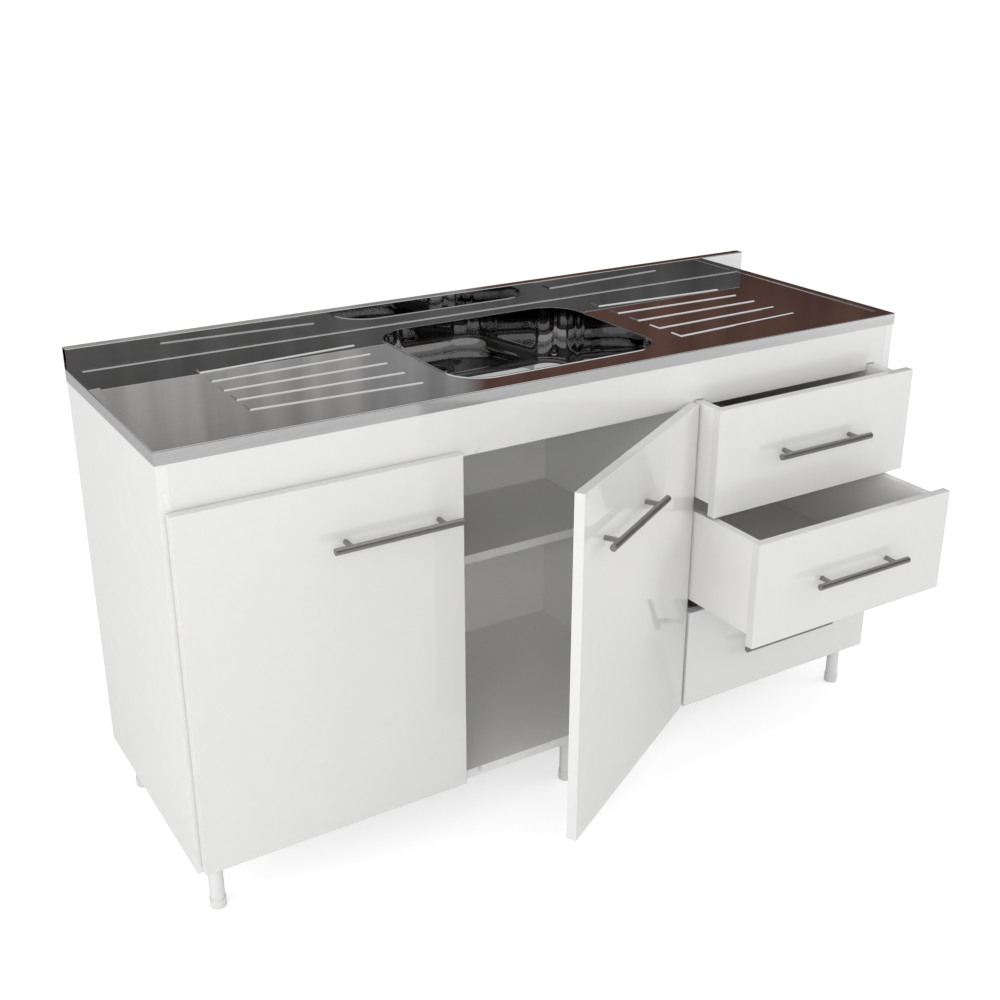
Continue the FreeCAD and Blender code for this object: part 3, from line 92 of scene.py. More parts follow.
@dataclass
class Wiring:
    """A node tree, with short ways to add nodes and join them."""

    tree: Tree

    def node(self, kind: str) -> bpy.types.Node:
        """Add a shader node, named by the last part of its kind."""
        return self.tree.nodes.new(f"ShaderNode{kind}")

    def feed(self, source: object, target: Socket) -> None:
        """Link a socket to another, or set a constant on it.

        Args:
            source: Socket or constant.
            target: Socket that takes it.
        """
        if isinstance(source, Socket):
            self.tree.links.new(source, target)
        else:
            target.default_value = source

    def noise(self, vector: Socket, scale: object, detail: float) -> Socket:
        """Add a noise texture.

        Args:
            vector: Place that is read.
            scale: A number, or a socket that gives it.
            detail: Octaves of the noise.

        Returns:
            The noise's value.
        """
        texture = self.node("TexNoise")
        self.feed(vector, texture.inputs["Vector"])
        self.feed(scale, texture.inputs["Scale"])
        self.feed(detail, texture.inputs["Detail"])
        return texture.outputs[0]

    def math(self, operation: str, first: object, second: object) -> Socket:
        """Add a math node.

        Args:
            operation: Blender's name of the operation.
            first: Socket or number.
            second: Socket or number.

        Returns:
            The result.
        """
        node = self.node("Math")
        node.operation = operation
        self.feed(first, node.inputs[0])
        self.feed(second, node.inputs[1])
        return node.outputs[0]

    def split(self, vector: Socket) -> bpy.types.NodeOutputs:
        """Give the X, Y and Z of a vector.

        Args:
            vector: Socket that is read.

        Returns:
            The outputs named X, Y and Z.
        """
        node = self.node("SeparateXYZ")
        self.feed(vector, node.inputs[0])
        return node.outputs

    def span(
        self,
        value: Socket,
        start: tuple[float, float] = (0.0, 1.0),
        end: tuple[float, float] = (0.0, 1.0),
        smooth: bool = False,
    ) -> Socket:
        """Map one range of values onto another.

        Args:
            value: Socket that is read.
            start: Range of the value.
            end: Range of the result.
            smooth: Whether the result eases in and out.

        Returns:
            The mapped value.
        """
        node = self.node("MapRange")
        if smooth:
            node.interpolation_type = "SMOOTHSTEP"
        self.feed(value, node.inputs["Value"])
        for name, limit in zip(("From Min", "From Max", "To Min", "To Max"), (*start, *end)):
            node.inputs[name].default_value = limit
        return node.outputs["Result"]

    def ramp(self, value: Socket, low: float, high: float) -> Socket:
        """Spread the range from low to high over 0 to 1, smoothly."""
        return self.span(value, (low, high), smooth=True)

    def spread(self, value: Socket, low: float, high: float) -> Socket:
        """Map 0 to 1 onto low to high."""
        return self.span(value, end=(low, high))


class GroupSketch(Wiring):
    """One shader node group while it is being drawn."""

    def __init__(self, name: str, **numbers: float) -> None:
        """Start the group with its inputs.

        Args:
            name: Name of the group.
            **numbers: Names and defaults of its number inputs.
        """
        super().__init__(bpy.data.node_groups.new(name, "ShaderNodeTree"))
        self.entry = self.tree.nodes.new("NodeGroupInput")
        self.leave = self.tree.nodes.new("NodeGroupOutput")
        sockets = self.tree.interface
        sockets.new_socket(name="Vector", in_out="INPUT", socket_type="NodeSocketVector")
        for key, value in numbers.items():
            socket = sockets.new_socket(name=key, in_out="INPUT", socket_type="NodeSocketFloat")
            socket.default_value = value
        self.place = self.taken("Vector")

    def taken(self, name: str) -> Socket:
        """Give one of the group's inputs."""
        return self.entry.outputs[name]

    def gives(self, **results: Socket) -> Tree:
        """Add number outputs.

        Args:
            **results: Names of the outputs, and the sockets that feed them.

        Returns:
            The finished group.
        """
        for name, source in results.items():
            self.tree.interface.new_socket(name=name, in_out="OUTPUT", socket_type="NodeSocketFloat")
            self.feed(source, self.leave.inputs[name])
        return self.tree


def coat_skin_group() -> Tree:
    """Group for sprayed or pressed board skins.

    Returns:
        A group with tone, wipe marks and skin height.
    """
    sketch = GroupSketch("coat_skin", Pore=900.0, Cloud=3.0)
    pores = sketch.noise(sketch.place, sketch.taken("Pore"), detail=2.0)
    clouds = sketch.noise(sketch.place, sketch.taken("Cloud"), detail=4.0)
    wipes = sketch.noise(sketch.place, scale=14.0, detail=3.0)
    slow = sketch.noise(sketch.place, scale=22.0, detail=1.0)
    return sketch.gives(
        Tone=sketch.ramp(clouds, low=0.35, high=0.65),
        Wipe=sketch.ramp(wipes, low=0.45, high=0.7),
        Height=sketch.math("ADD", pores, sketch.math("MULTIPLY", slow, 3.0)),
    )


def polish_lines_group() -> Tree:
    """Group for rolled and brushed metal.

    Returns:
        A group with the fine lines, their height, and smears of handling.
    """
    sketch = GroupSketch("polish_lines", Fineness=1400.0)
    fineness = sketch.taken("Fineness")
    lines = sketch.noise(sketch.place, fineness, detail=2.0)
    bands = sketch.noise(sketch.place, sketch.math("MULTIPLY", fineness, 0.12), detail=2.0)
    smears = sketch.noise(sketch.place, scale=9.0, detail=4.0)
    both = sketch.math("ADD", sketch.math("MULTIPLY", lines, 0.6), sketch.math("MULTIPLY", bands, 0.4))
    return sketch.gives(
        Lines=sketch.ramp(both, low=0.35, high=0.65),
        Smear=sketch.ramp(smears, low=0.42, high=0.68),
        Height=both,
    )


def lighter_patches_group() -> Tree:
    """Group for broken-up patches, placed by noise alone over the whole face, not at the edges.

    Returns:
        A group with one broken-up mask.
    """
    sketch = GroupSketch("lighter_patches", Length=60.0)
    long_marks = sketch.noise(sketch.place, sketch.taken("Length"), detail=3.0)
    nicks = sketch.noise(sketch.place, scale=700.0, detail=2.0)
    patchy = sketch.math("MULTIPLY", long_marks, nicks)
    return sketch.gives(Mask=sketch.ramp(patchy, low=0.22, high=0.36))


def settled_dust_group() -> Tree:
    """Group for the thin dust that settles on faces turned up.

    Returns:
        A group with one mask.
    """
    sketch = GroupSketch("settled_dust", Amount=0.3)
    facing = sketch.split(sketch.node("NewGeometry").outputs["Normal"])
    level = sketch.ramp(facing["Z"], low=0.6, high=0.95)
    specks = sketch.ramp(sketch.noise(sketch.place, scale=420.0, detail=3.0), low=0.5, high=0.75)
    drift = sketch.noise(sketch.place, scale=6.0, detail=3.0)
    spread = sketch.math("MULTIPLY", sketch.math("ADD", specks, drift), sketch.taken("Amount"))
    return sketch.gives(Mask=sketch.math("MULTIPLY", level, spread))


def wood_flakes_group() -> Tree:
    """Group for pressed wood chips or fibres.

    Returns:
        A group with flake tone, dark fibres and height.
    """
    sketch = GroupSketch("wood_flakes", Chip=320.0)
    cells = sketch.node("TexVoronoi")
    sketch.feed(sketch.place, cells.inputs["Vector"])
    sketch.feed(sketch.taken("Chip"), cells.inputs["Scale"])
    tone = sketch.split(cells.outputs["Color"])
    fibres = sketch.ramp(sketch.noise(sketch.place, scale=1500.0, detail=4.0), low=0.4, high=0.65)
    height = sketch.math("ADD", cells.outputs["Distance"], fibres)
    return sketch.gives(Tone=tone["X"], Fibre=fibres, Height=height)


GROUPS = {
    tree.name: tree
    for tree in (
        coat_skin_group(),
        polish_lines_group(),
        lighter_patches_group(),
        settled_dust_group(),
        wood_flakes_group(),
    )
}


# ---------------- finishes


class Palette(Wiring):
    """A material while it is being drawn."""

    def __init__(self, name: str) -> None:
        """Start the material with its shader.

        Args:
            name: Name of the material.
        """
        self.material = bpy.data.materials.new(name)
        self.material.use_nodes = True
        super().__init__(self.material.node_tree)
        self.shader = self.tree.nodes["Principled BSDF"]

    def place(self, stretch: Sequence[float] = EVEN) -> Socket:
        """Give object coordinates.

        Args:
            stretch: Scale of the pattern along each axis.

        Returns:
            The coordinates.
        """
        mapping = self.node("Mapping")
        mapping.inputs["Scale"].default_value = stretch
        self.feed(self.node("TexCoord").outputs["Object"], mapping.inputs["Vector"])
        return mapping.outputs["Vector"]

    def group(self, name: str, vector: Socket, **values: float) -> bpy.types.NodeOutputs:
        """Place a shared group with its own values.

        Args:
            name: Name of the group.
            vector: Coordinates that it reads.
            **values: Its number inputs.

        Returns:
            The group's outputs.
        """
        node = self.node("Group")
        node.node_tree = GROUPS[name]
        self.feed(vector, node.inputs["Vector"])
        for key, value in values.items():
            node.inputs[key].default_value = value
        return node.outputs

    def blend(self, mask: Socket, low: object, high: Colour) -> Socket:
        """Mix two colours by a mask.

        Args:
            mask: 0 gives the first colour, 1 the second.
            low: First colour, or a socket with it.
            high: Second colour.

        Returns:
            The mixed colour.
        """
        mix = self.node("Mix")
        mix.data_type = "RGBA"
        self.feed(mask, mix.inputs["Factor"])
        self.feed(low if isinstance(low, Socket) else (*low, 1.0), mix.inputs[6])
        self.feed((*high, 1.0), mix.inputs[7])
        return mix.outputs[2]

    def set(self, **values: object) -> None:
        """Set constants on the shader's own sockets; underscores stand for spaces."""
        for key, value in values.items():
            self.shader.inputs[key.replace("_", " ")].default_value = value

    def dress(
        self, colour: Socket, rough: Socket, height: Socket, relief: float, depth: float
    ) -> Material:
        """Join colour, roughness and bump to the shader.

        Args:
            colour: Base colour.
            rough: Roughness.
            height: Height of the bump.
            relief: Strength of the bump.
            depth: Depth of the bump, in metres.

        Returns:
            The finished material.
        """
        self.feed(colour, self.shader.inputs["Base Color"])
        self.feed(rough, self.shader.inputs["Roughness"])
        bump = self.node("Bump")
        bump.inputs["Strength"].default_value = relief
        bump.inputs["Distance"].default_value = depth
        self.feed(height, bump.inputs["Height"])
        self.feed(bump.outputs["Normal"], self.shader.inputs["Normal"])
        return self.material


@dataclass(frozen=True)
class BoardSkin:
    """Lacquered, foiled or moulded white skins."""

    name: str
    colour: Colour
    shade: Colour
    smooth: float
    wiped: float
    pore: float
    relief: float
    dust: float = 0.0
    sheen: float = 0.5
    ior: float = 1.5
    cloud: float = 2.4
    patch_length: float = 35.0
    patch_share: float = 0.35
    patch_gain: float = 1.04
    dust_colour: Colour = (0.62, 0.6, 0.57)
    depth: float = 0.2 * MM

    def material(self) -> Material:
        """Draw the skin's material.

        Returns:
            The material.
        """
        paint = Palette(self.name)
        paint.set(Specular_IOR_Level=self.sheen, IOR=self.ior)
        place = paint.place()
        skin = paint.group("coat_skin", place, Pore=self.pore, Cloud=self.cloud)
        colour = paint.blend(skin["Tone"], self.colour, self.shade)
        # Patches a little lighter than the skin, placed by noise alone, not at the edges.
        patches = paint.group("lighter_patches", place, Length=self.patch_length)
        lighter = tuple(min(1.0, part * self.patch_gain) for part in self.colour)
        colour = paint.blend(paint.spread(patches["Mask"], 0.0, self.patch_share), colour, lighter)
        if self.dust:
            dust = paint.group("settled_dust", place, Amount=self.dust)
            colour = paint.blend(dust["Mask"], colour, self.dust_colour)
        rough = paint.spread(skin["Wipe"], self.smooth, self.wiped)
        return paint.dress(colour, rough, skin["Height"], self.relief, self.depth)


@dataclass(frozen=True)
class MetalSkin:
    """Rolled, brushed, plated or polished metals."""

    name: str
    colour: Colour
    shade: Colour
    grain: Grain
    smooth: float
    smeared: float
    fineness: float
    relief: float
    dust: float = 0.0
    dust_colour: Colour = (0.5, 0.49, 0.47)
    depth: float = 0.1 * MM

    def material(self) -> Material:
        """Draw the metal's material.

        Returns:
            The material.
        """
        paint = Palette(self.name)
        paint.set(Metallic=1.0)
        place = paint.place()
        lines = paint.group("polish_lines", paint.place(self.grain.value), Fineness=self.fineness)
        smears = paint.group("polish_lines", place, Fineness=self.fineness)
        colour = paint.blend(lines["Lines"], self.shade, self.colour)
        if self.dust:
            dust = paint.group("settled_dust", place, Amount=self.dust)
            colour = paint.blend(dust["Mask"], colour, self.dust_colour)
        rough = paint.spread(smears["Smear"], self.smooth, self.smeared)
        return paint.dress(colour, rough, lines["Height"], self.relief, self.depth)


@dataclass(frozen=True)
class WoodCore:
    """Raw pressed wood: chipboard, or the back of hardboard."""

    name: str
    pale: Colour
    dark: Colour
    chip: float
    relief: float
    fibre_share: float = 0.5
    fibre_tone: float = 0.6
    depth: float = 0.3 * MM

    def material(self) -> Material:
        """Draw the core's material.

        Returns:
            The material.
        """
        paint = Palette(self.name)
        flakes = paint.group("wood_flakes", paint.place(), Chip=self.chip)
        colour = paint.blend(flakes["Tone"], self.pale, self.dark)
        deep = tuple(part * self.fibre_tone for part in self.dark)
        colour = paint.blend(paint.spread(flakes["Fibre"], 0.0, self.fibre_share), colour, deep)
        rough = paint.spread(flakes["Tone"], low=0.7, high=0.9)
        return paint.dress(colour, rough, flakes["Height"], self.relief, self.depth)


@dataclass(frozen=True)
class SoftPlastic:
    """Rubber, nylon and the soft buffers."""

    name: str
    colour: Colour
    rough: float
    relief: float = 0.2
    pore: float = 1800.0
    cloud: float = 40.0
    darker: float = 0.86
    rough_swing: float = 0.15
    softness: float = 0.08
    depth: float = 0.15 * MM

    def material(self) -> Material:
        """Draw the plastic's material.

        Returns:
            The material.
        """
        paint = Palette(self.name)
        paint.set(Subsurface_Weight=self.softness)
        skin = paint.group("coat_skin", paint.place(), Pore=self.pore, Cloud=self.cloud)
        shade = tuple(part * self.darker for part in self.colour)
        colour = paint.blend(skin["Tone"], self.colour, shade)
        swing = self.rough * self.rough_swing
        rough = paint.spread(skin["Wipe"], self.rough - swing, self.rough + swing)
        return paint.dress(colour, rough, skin["Height"], self.relief, self.depth)


Finish = BoardSkin | MetalSkin | WoodCore | SoftPlastic

GLOSS_FRONT = BoardSkin(
    "gloss_white_front", (0.755, 0.75, 0.745), (0.749, 0.744, 0.739),
    smooth=0.003, wiped=0.01, pore=260.0, relief=0.002, ior=1.9,
)
FRONT_EDGE = BoardSkin(
    "front_edge_band", (0.78, 0.776, 0.772), (0.765, 0.761, 0.757),
    smooth=0.12, wiped=0.2, pore=700.0, relief=0.05,
)
OUTER_BOARD = BoardSkin(
    "white_board_outside", (0.84, 0.836, 0.83), (0.826, 0.822, 0.816),
    smooth=0.1, wiped=0.17, pore=800.0, relief=0.03,
)
# Painted light: the same white board as OUTER_BOARD, given a lighter colour on the inside faces to stand in
# for light that the shaded cupboard does not get.
INNER_BOARD_PAINTED_LIGHTER = BoardSkin(
    "white_board_inside_painted_lighter", (0.92, 0.915, 0.91), (0.905, 0.9, 0.895),
    smooth=0.42, wiped=0.54, pore=1200.0, relief=0.1, dust=0.12, sheen=0.16,
)
BOARD_EDGE = BoardSkin(
    "board_edge_band", (0.81, 0.806, 0.802), (0.795, 0.791, 0.787),
    smooth=0.22, wiped=0.32, pore=900.0, relief=0.08,
)
DRAWER_BOARD = BoardSkin(
    "drawer_board", (0.86, 0.856, 0.85), (0.84, 0.836, 0.83),
    smooth=0.16, wiped=0.24, pore=1000.0, relief=0.06,
)
DRAWER_INSIDE = BoardSkin(
    "drawer_inside", (0.84, 0.83, 0.825), (0.815, 0.806, 0.8),
    smooth=0.36, wiped=0.48, pore=1200.0, relief=0.1, dust=0.1, sheen=0.2,
)
BACK_FACE = BoardSkin(
    "white_hardboard", (0.9, 0.895, 0.89), (0.885, 0.88, 0.875),
    smooth=0.45, wiped=0.55, pore=1500.0, relief=0.15, sheen=0.2,
)
LEG_PAINT = BoardSkin(
    "white_tube", (0.78, 0.778, 0.775), (0.75, 0.748, 0.745),
    smooth=0.2, wiped=0.3, pore=1500.0, relief=0.12,
)
MOULDED = BoardSkin(
    "white_plastic", (0.78, 0.775, 0.765), (0.74, 0.735, 0.725),
    smooth=0.3, wiped=0.42, pore=2200.0, relief=0.12,
)
RAW_BACK = WoodCore("raw_hardboard", (0.33, 0.2, 0.11), (0.2, 0.11, 0.055), chip=900.0, relief=0.35)
CHIPBOARD = WoodCore("core_board", (0.62, 0.47, 0.3), (0.42, 0.28, 0.16), chip=320.0, relief=0.5)
SHEET_STEEL = MetalSkin(
    "stainless_sheet", (0.6, 0.6, 0.605), (0.57, 0.57, 0.575), Grain.ALONG_X,
    smooth=0.02, smeared=0.035, fineness=1500.0, relief=0.0015,
)
FOLD_STEEL = MetalSkin(
    "stainless_fold", (0.6, 0.598, 0.6), (0.54, 0.538, 0.54), Grain.ALONG_X,
    smooth=0.09, smeared=0.15, fineness=1200.0, relief=0.006,
)
BOWL_STEEL = MetalSkin(
    "stainless_bowl", (0.46, 0.46, 0.46), (0.42, 0.42, 0.42), Grain.ALONG_Z,
    smooth=0.02, smeared=0.04, fineness=1100.0, relief=0.002,
)
POLISHED = MetalSkin(
    "polished_stainless", (0.66, 0.66, 0.665), (0.58, 0.58, 0.585), Grain.NONE,
    smooth=0.06, smeared=0.12, fineness=1800.0, relief=0.03,
)
HANDLE_METAL = MetalSkin(
    "satin_handle", (0.37, 0.362, 0.356), (0.31, 0.304, 0.3), Grain.ALONG_X,
    smooth=0.44, smeared=0.54, fineness=2200.0, relief=0.08,
)
NICKEL = MetalSkin(
    "nickel_hinge", (0.6, 0.585, 0.56), (0.52, 0.505, 0.48), Grain.NONE,
    smooth=0.2, smeared=0.3, fineness=2600.0, relief=0.06,
)
ZINC = MetalSkin(
    "zinc_runner", (0.52, 0.525, 0.535), (0.42, 0.425, 0.435), Grain.ALONG_Y,
    smooth=0.26, smeared=0.38, fineness=500.0, relief=0.1, dust=0.15,
)
PIN_METAL = MetalSkin(
    "zinc_pin", (0.55, 0.55, 0.55), (0.45, 0.45, 0.45), Grain.NONE,
    smooth=0.25, smeared=0.35, fineness=2400.0, relief=0.08,
)
SCREW_METAL = MetalSkin(
    "screw_zinc", (0.5, 0.49, 0.46), (0.38, 0.37, 0.35), Grain.NONE,
    smooth=0.24, smeared=0.36, fineness=3000.0, relief=0.12,
)
NYLON = SoftPlastic("nylon_roller", (0.7, 0.69, 0.66), rough=0.38)
RUBBER = SoftPlastic("grey_rubber", (0.05, 0.05, 0.052), rough=0.62)
BUFFER = SoftPlastic("clear_buffer", (0.8, 0.8, 0.78), rough=0.25, relief=0.05)


@cache
def paint_of(finish: Finish) -> Material:
    """Give a finish's material, drawn once."""
    return finish.material()


# ---------------- shaping


def finish_piece(
    shape: Shape,
    name: str,
    body: str,
    finishes: Sequence[Finish],
    replaced: Iterable[str] = (),
) -> None:
    """Turn a finished bmesh into a dressed piece that rides on a body.

    Args:
        shape: The bmesh, in world metres. It is freed.
        name: Name of the piece.
        body: CAD body that it rides on.
        finishes: Finishes in the order of the faces' material indices.
        replaced: CAD nodes that it stands for.
    """
    for face in shape.faces:
        face.smooth = True
    for edge in shape.edges:
        edge.smooth = edge.is_manifold and edge.calc_face_angle(0.0) < SOFT_EDGE
    mesh = bpy.data.meshes.new(name)
    shape.to_mesh(mesh)
    shape.free()
    if "custom_normal" in mesh.attributes:
        mesh.attributes.remove(mesh.attributes["custom_normal"])
    piece = bpy.data.objects.new(name, mesh)
    bpy.context.scene.collection.objects.link(piece)
    for finish in finishes:
        mesh.materials.append(paint_of(finish))
    flats = piece.modifiers.new("flat_faces_first", "WEIGHTED_NORMAL")
    flats.keep_sharp = True
    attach(piece, body)
    if replaced:
        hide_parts(*replaced)
    LOG.info("%s: %d faces on %s", name, len(mesh.polygons), body)


def ease_edges(
    shape: Shape,
    width: float,
    steps: int,
    sharper_than: float,
    wanted: Callable[[Edge], bool] = lambda edge: True,
    slide: bool = True,
) -> set[Face]:
    """Round the sharp edges of a shape.

    Args:
        shape: The bmesh.
        width: Width of the rounding, in metres.
        steps: Steps of the rounding.
        sharper_than: Least angle between the faces, in degrees.
        wanted: Test that picks the edges.
        slide: Whether new corners slide along the other edges.

    Returns:
        The new faces.
    """
    least = math.radians(sharper_than)
    sharp = [
        edge
        for edge in shape.edges
        if edge.is_manifold and edge.calc_face_angle(0.0) > least and wanted(edge)
    ]
    if not sharp:
        return set()
    made = bmesh.ops.bevel(
        shape, geom=sharp, offset=width, offset_type="OFFSET", affect="EDGES", segments=steps,
        profile=0.5, material=-1, clamp_overlap=True, loop_slide=slide,
    )
    return set(made["faces"])


def middle_of(edge: Edge) -> Vector:
    """Give the middle of an edge."""
    return (edge.verts[0].co + edge.verts[1].co) / 2.0


def merged_copy(node: str) -> Shape:
    """Copy a CAD node's triangles, merged, with flat faces joined.

    Args:
        node: Name of the CAD node.

    Returns:
        The merged bmesh.
    """
    shape = bmesh.new()
    shape.from_mesh(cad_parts[node].data)
    bmesh.ops.remove_doubles(shape, verts=shape.verts, dist=MERGE_GAP)
    bmesh.ops.dissolve_limit(
        shape, angle_limit=FLAT_WITHIN, verts=shape.verts, edges=shape.edges,
        use_dissolve_boundaries=False, delimit=set(),
    )
    shape.normal_update()
    return shape


@dataclass(frozen=True)
class Turn:
    """How a hinged piece stands: turned about an upright pivot."""

    pivot_x: float = 0.0
    pivot_y: float = 0.0
    degrees: float = 0.0

    def matrix(self) -> Matrix:
        """Give the matrix that opens a piece drawn shut."""
        pivot = Matrix.Translation((self.pivot_x, self.pivot_y, 0.0))
        return pivot @ Matrix.Rotation(math.radians(self.degrees), 4, "Z") @ pivot.inverted()


SHUT = Turn()


@dataclass
class Dressed:
    """A finer copy of one CAD node, its edges eased, its narrow faces banded."""

    node: str
    body: str
    slot: str
    face: Finish
    edge: Finish | None = None
    flat: Axis | None = None
    other_side: Finish | None = None
    ease: float = 0.4 * MM
    steps: int = 2
    turn: Turn = SHUT
    sharper_than: float = 28.0
    flat_from: float = 0.5

    def build(self) -> None:
        """Make the copy."""
        shape = merged_copy(self.node)
        shape.transform(self.turn.matrix().inverted())
        eased = ease_edges(shape, self.ease, self.steps, self.sharper_than)
        shape.normal_update()
        across = Vector(self.flat.value) if self.flat else None
        for face in shape.faces:
            if face in eased:
                face.material_index = 1
            elif across is not None:
                facing = face.normal.dot(across)
                side = 2 if facing > 0 else 0
                face.material_index = 1 if abs(facing) < self.flat_from else side
        shape.transform(self.turn.matrix())
        finishes = [self.face, self.edge or self.face, self.other_side or self.face]
        finish_piece(shape, f"{self.node}_finished", self.body, finishes, [self.node])


def dress_fittings(
    body: str, rows: Iterable[tuple[str, Finish, float, int]], turn: Turn = SHUT
) -> None:
    """Dress fittings of one body that have a single finish, named as their slot is.

    Args:
        body: CAD body that they ride on.
        rows: Node, finish, width of the eased edges in millimetres, and its steps.
        turn: How they stand.
    """
    for node, finish, ease, steps in rows:
        Dressed(node, body, finish.name, finish, ease=ease * MM, steps=steps, turn=turn).build()


# ---------------- screws


@dataclass(frozen=True)
class ScrewHead:
    """Domed screw head with a cross recess."""

    radius: float = 3.6 * MM
    height: float = 1.3 * MM
    recess: float = 0.8 * MM
    cells: int = 5
    dome: float = 0.45
    cross_half: float = 0.4
    cross_reach: float = 1.4

    def add(self, shape: Shape, place: Vector, outward: Vector) -> None:
        """Add one head to a shape.

        Args:
            shape: The bmesh that gets the head.
            place: Point on the surface under the head.
            outward: Direction in which the head looks.
        """
        cells = self.cells
        made = bmesh.ops.create_grid(shape, x_segments=cells, y_segments=cells, size=self.radius)
        cap = made["verts"]
        pitch = 2.0 * self.radius / cells
        for vert in cap:
            ring = max(abs(vert.co.x), abs(vert.co.y))
            away = vert.co.to_2d().length
            share = (ring / self.radius) ** 2
            if away:
                vert.co = vert.co.lerp(vert.co * (ring / away), share)
            vert.co.z = self.height * (1.0 - self.dome * share)
        faces = {face for vert in cap for face in vert.link_faces}
        cross = []
        for face in faces:
            middle = face.calc_center_median()
            across = sorted((abs(middle.x), abs(middle.y)))
            if across[0] < self.cross_half * pitch and across[1] < self.cross_reach * pitch:
                cross.append(face)
        rim = {edge for face in faces for edge in face.edges if edge.is_boundary}
        skirt = bmesh.ops.extrude_edge_only(shape, edges=list(rim))
        lower = [item for item in skirt["geom"] if isinstance(item, bmesh.types.BMVert)]
        for vert in lower:
            vert.co.z = 0.0
        well = bmesh.ops.extrude_face_region(shape, geom=cross)
        sunk = [item for item in well["geom"] if isinstance(item, bmesh.types.BMVert)]
        bmesh.ops.translate(shape, verts=sunk, vec=(0.0, 0.0, -self.recess))
        bmesh.ops.delete(shape, geom=cross, context="FACES_ONLY")
        turn = Vector(Axis.Z.value).rotation_difference(outward).to_matrix().to_4x4()
        moved = {vert for vert in (*cap, *lower, *sunk) if vert.is_valid}
        bmesh.ops.transform(shape, matrix=Matrix.Translation(place) @ turn, verts=list(moved))


SMALL_SCREW = ScrewHead()
HANDLE_SCREW = ScrewHead(4.2 * MM, 1.6 * MM)


@dataclass
class ScrewSet:
    """Equal screws of one body, as one piece."""

    name: str
    body: str
    slot: str
    places: Sequence[tuple[Vector, Vector]]
    head: ScrewHead = SMALL_SCREW
    turn: Turn = SHUT

    def build(self) -> None:
        """Make the screws."""
        shape = bmesh.new()
        for place, outward in self.places:
            self.head.add(shape, place, outward)
        shape.transform(self.turn.matrix())
        bmesh.ops.recalc_face_normals(shape, faces=shape.faces)
        finish_piece(shape, self.name, self.body, [SCREW_METAL])


def screw_handle(body: str, x: float, y: float, z: float, turn: Turn = SHUT) -> None:
    """Put the two screws of a bar handle on the inner face of its door or drawer front.

    Args:
        body: Body that they ride on.
        x: Middle of the handle, with the door shut.
        y: Inner face of the front.
        z: Height of the handle.
        turn: How the front stands.
    """
    post_half = 84.0 * MM
    places = [(Vector((x + half, y, z)), Vector(Axis.Y.value)) for half in (-post_half, post_half)]
    ScrewSet(f"{body}_handle_screws", body, "satin_handle", places, HANDLE_SCREW, turn).build()


# ---------------- sub-assemblies


@dataclass
class Carcass:
    """Panels, rails, shelf, back and the buffers that the fronts meet."""

    ease: float = 0.5 * MM
    back_ease: float = 0.1 * MM

    def build(self) -> None:
        """Make and dress the carcass."""
        # Inside faces take the white board's lighter copy, painted lighter in place of the light that the
        # cupboard lacks.
        boards = [
            ("left_side_panel", Axis.X, OUTER_BOARD, INNER_BOARD_PAINTED_LIGHTER),
            ("right_side_panel", Axis.X, INNER_BOARD_PAINTED_LIGHTER, OUTER_BOARD),
            ("bay_divider", Axis.X, INNER_BOARD_PAINTED_LIGHTER, INNER_BOARD_PAINTED_LIGHTER),
            ("bottom_panel", Axis.Z, OUTER_BOARD, INNER_BOARD_PAINTED_LIGHTER),
            ("front_fascia", Axis.Y, GLOSS_FRONT, INNER_BOARD_PAINTED_LIGHTER),
            ("rear_rail", Axis.Y, INNER_BOARD_PAINTED_LIGHTER, OUTER_BOARD),
            ("shelf", Axis.Z, INNER_BOARD_PAINTED_LIGHTER, INNER_BOARD_PAINTED_LIGHTER),
        ]
        for node, flat, low_side, high_side in boards:
            slot = "gloss_white_front" if node == "front_fascia" else "white_board"
            Dressed(node, "cabinet", slot, low_side, BOARD_EDGE, flat, high_side, self.ease).build()
        Dressed(
            "back_panel", "cabinet", "white_hardboard", BACK_FACE, RAW_BACK, Axis.Y, RAW_BACK,
            self.back_ease,
        ).build()
        dress_fittings("cabinet", [
            ("shelf_pins", PIN_METAL, 0.3, 2),
            ("front_bumpers", BUFFER, 0.9, 4),
            ("runner_packers", CHIPBOARD, 0.3, 2),
        ])


@dataclass
class Legs:
    """Six round legs with their plates, tubes, feet and screws."""

    tube_radius: float = 12.5 * MM
    plate_thickness: float = 4.0 * MM
    plate_reach: float = 19.0 * MM

    def build(self) -> None:
        """Make and dress the legs."""
        dress_fittings("cabinet", [
            ("leg_plates", MOULDED, 0.5, 3),
            ("leg_tubes", LEG_PAINT, 0.3, 2),
            ("leg_feet", MOULDED, 0.3, 2),
        ])
        low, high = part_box("leg_tubes")
        columns = (low.x + self.tube_radius, 0.0, high.x - self.tube_radius)
        rows = (low.y + self.tube_radius, high.y - self.tube_radius)
        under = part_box("leg_plates")[1].z - self.plate_thickness
        reach = self.plate_reach
        down = Vector((0.0, 0.0, -1.0))
        places = [
            (Vector((x + dx, y + dy, under)), down)
            for x in columns
            for y in rows
            for dx in (-reach, reach)
            for dy in (-reach, reach)
        ]
        ScrewSet("leg_plate_screws", "cabinet", "zinc_pin", places).build()


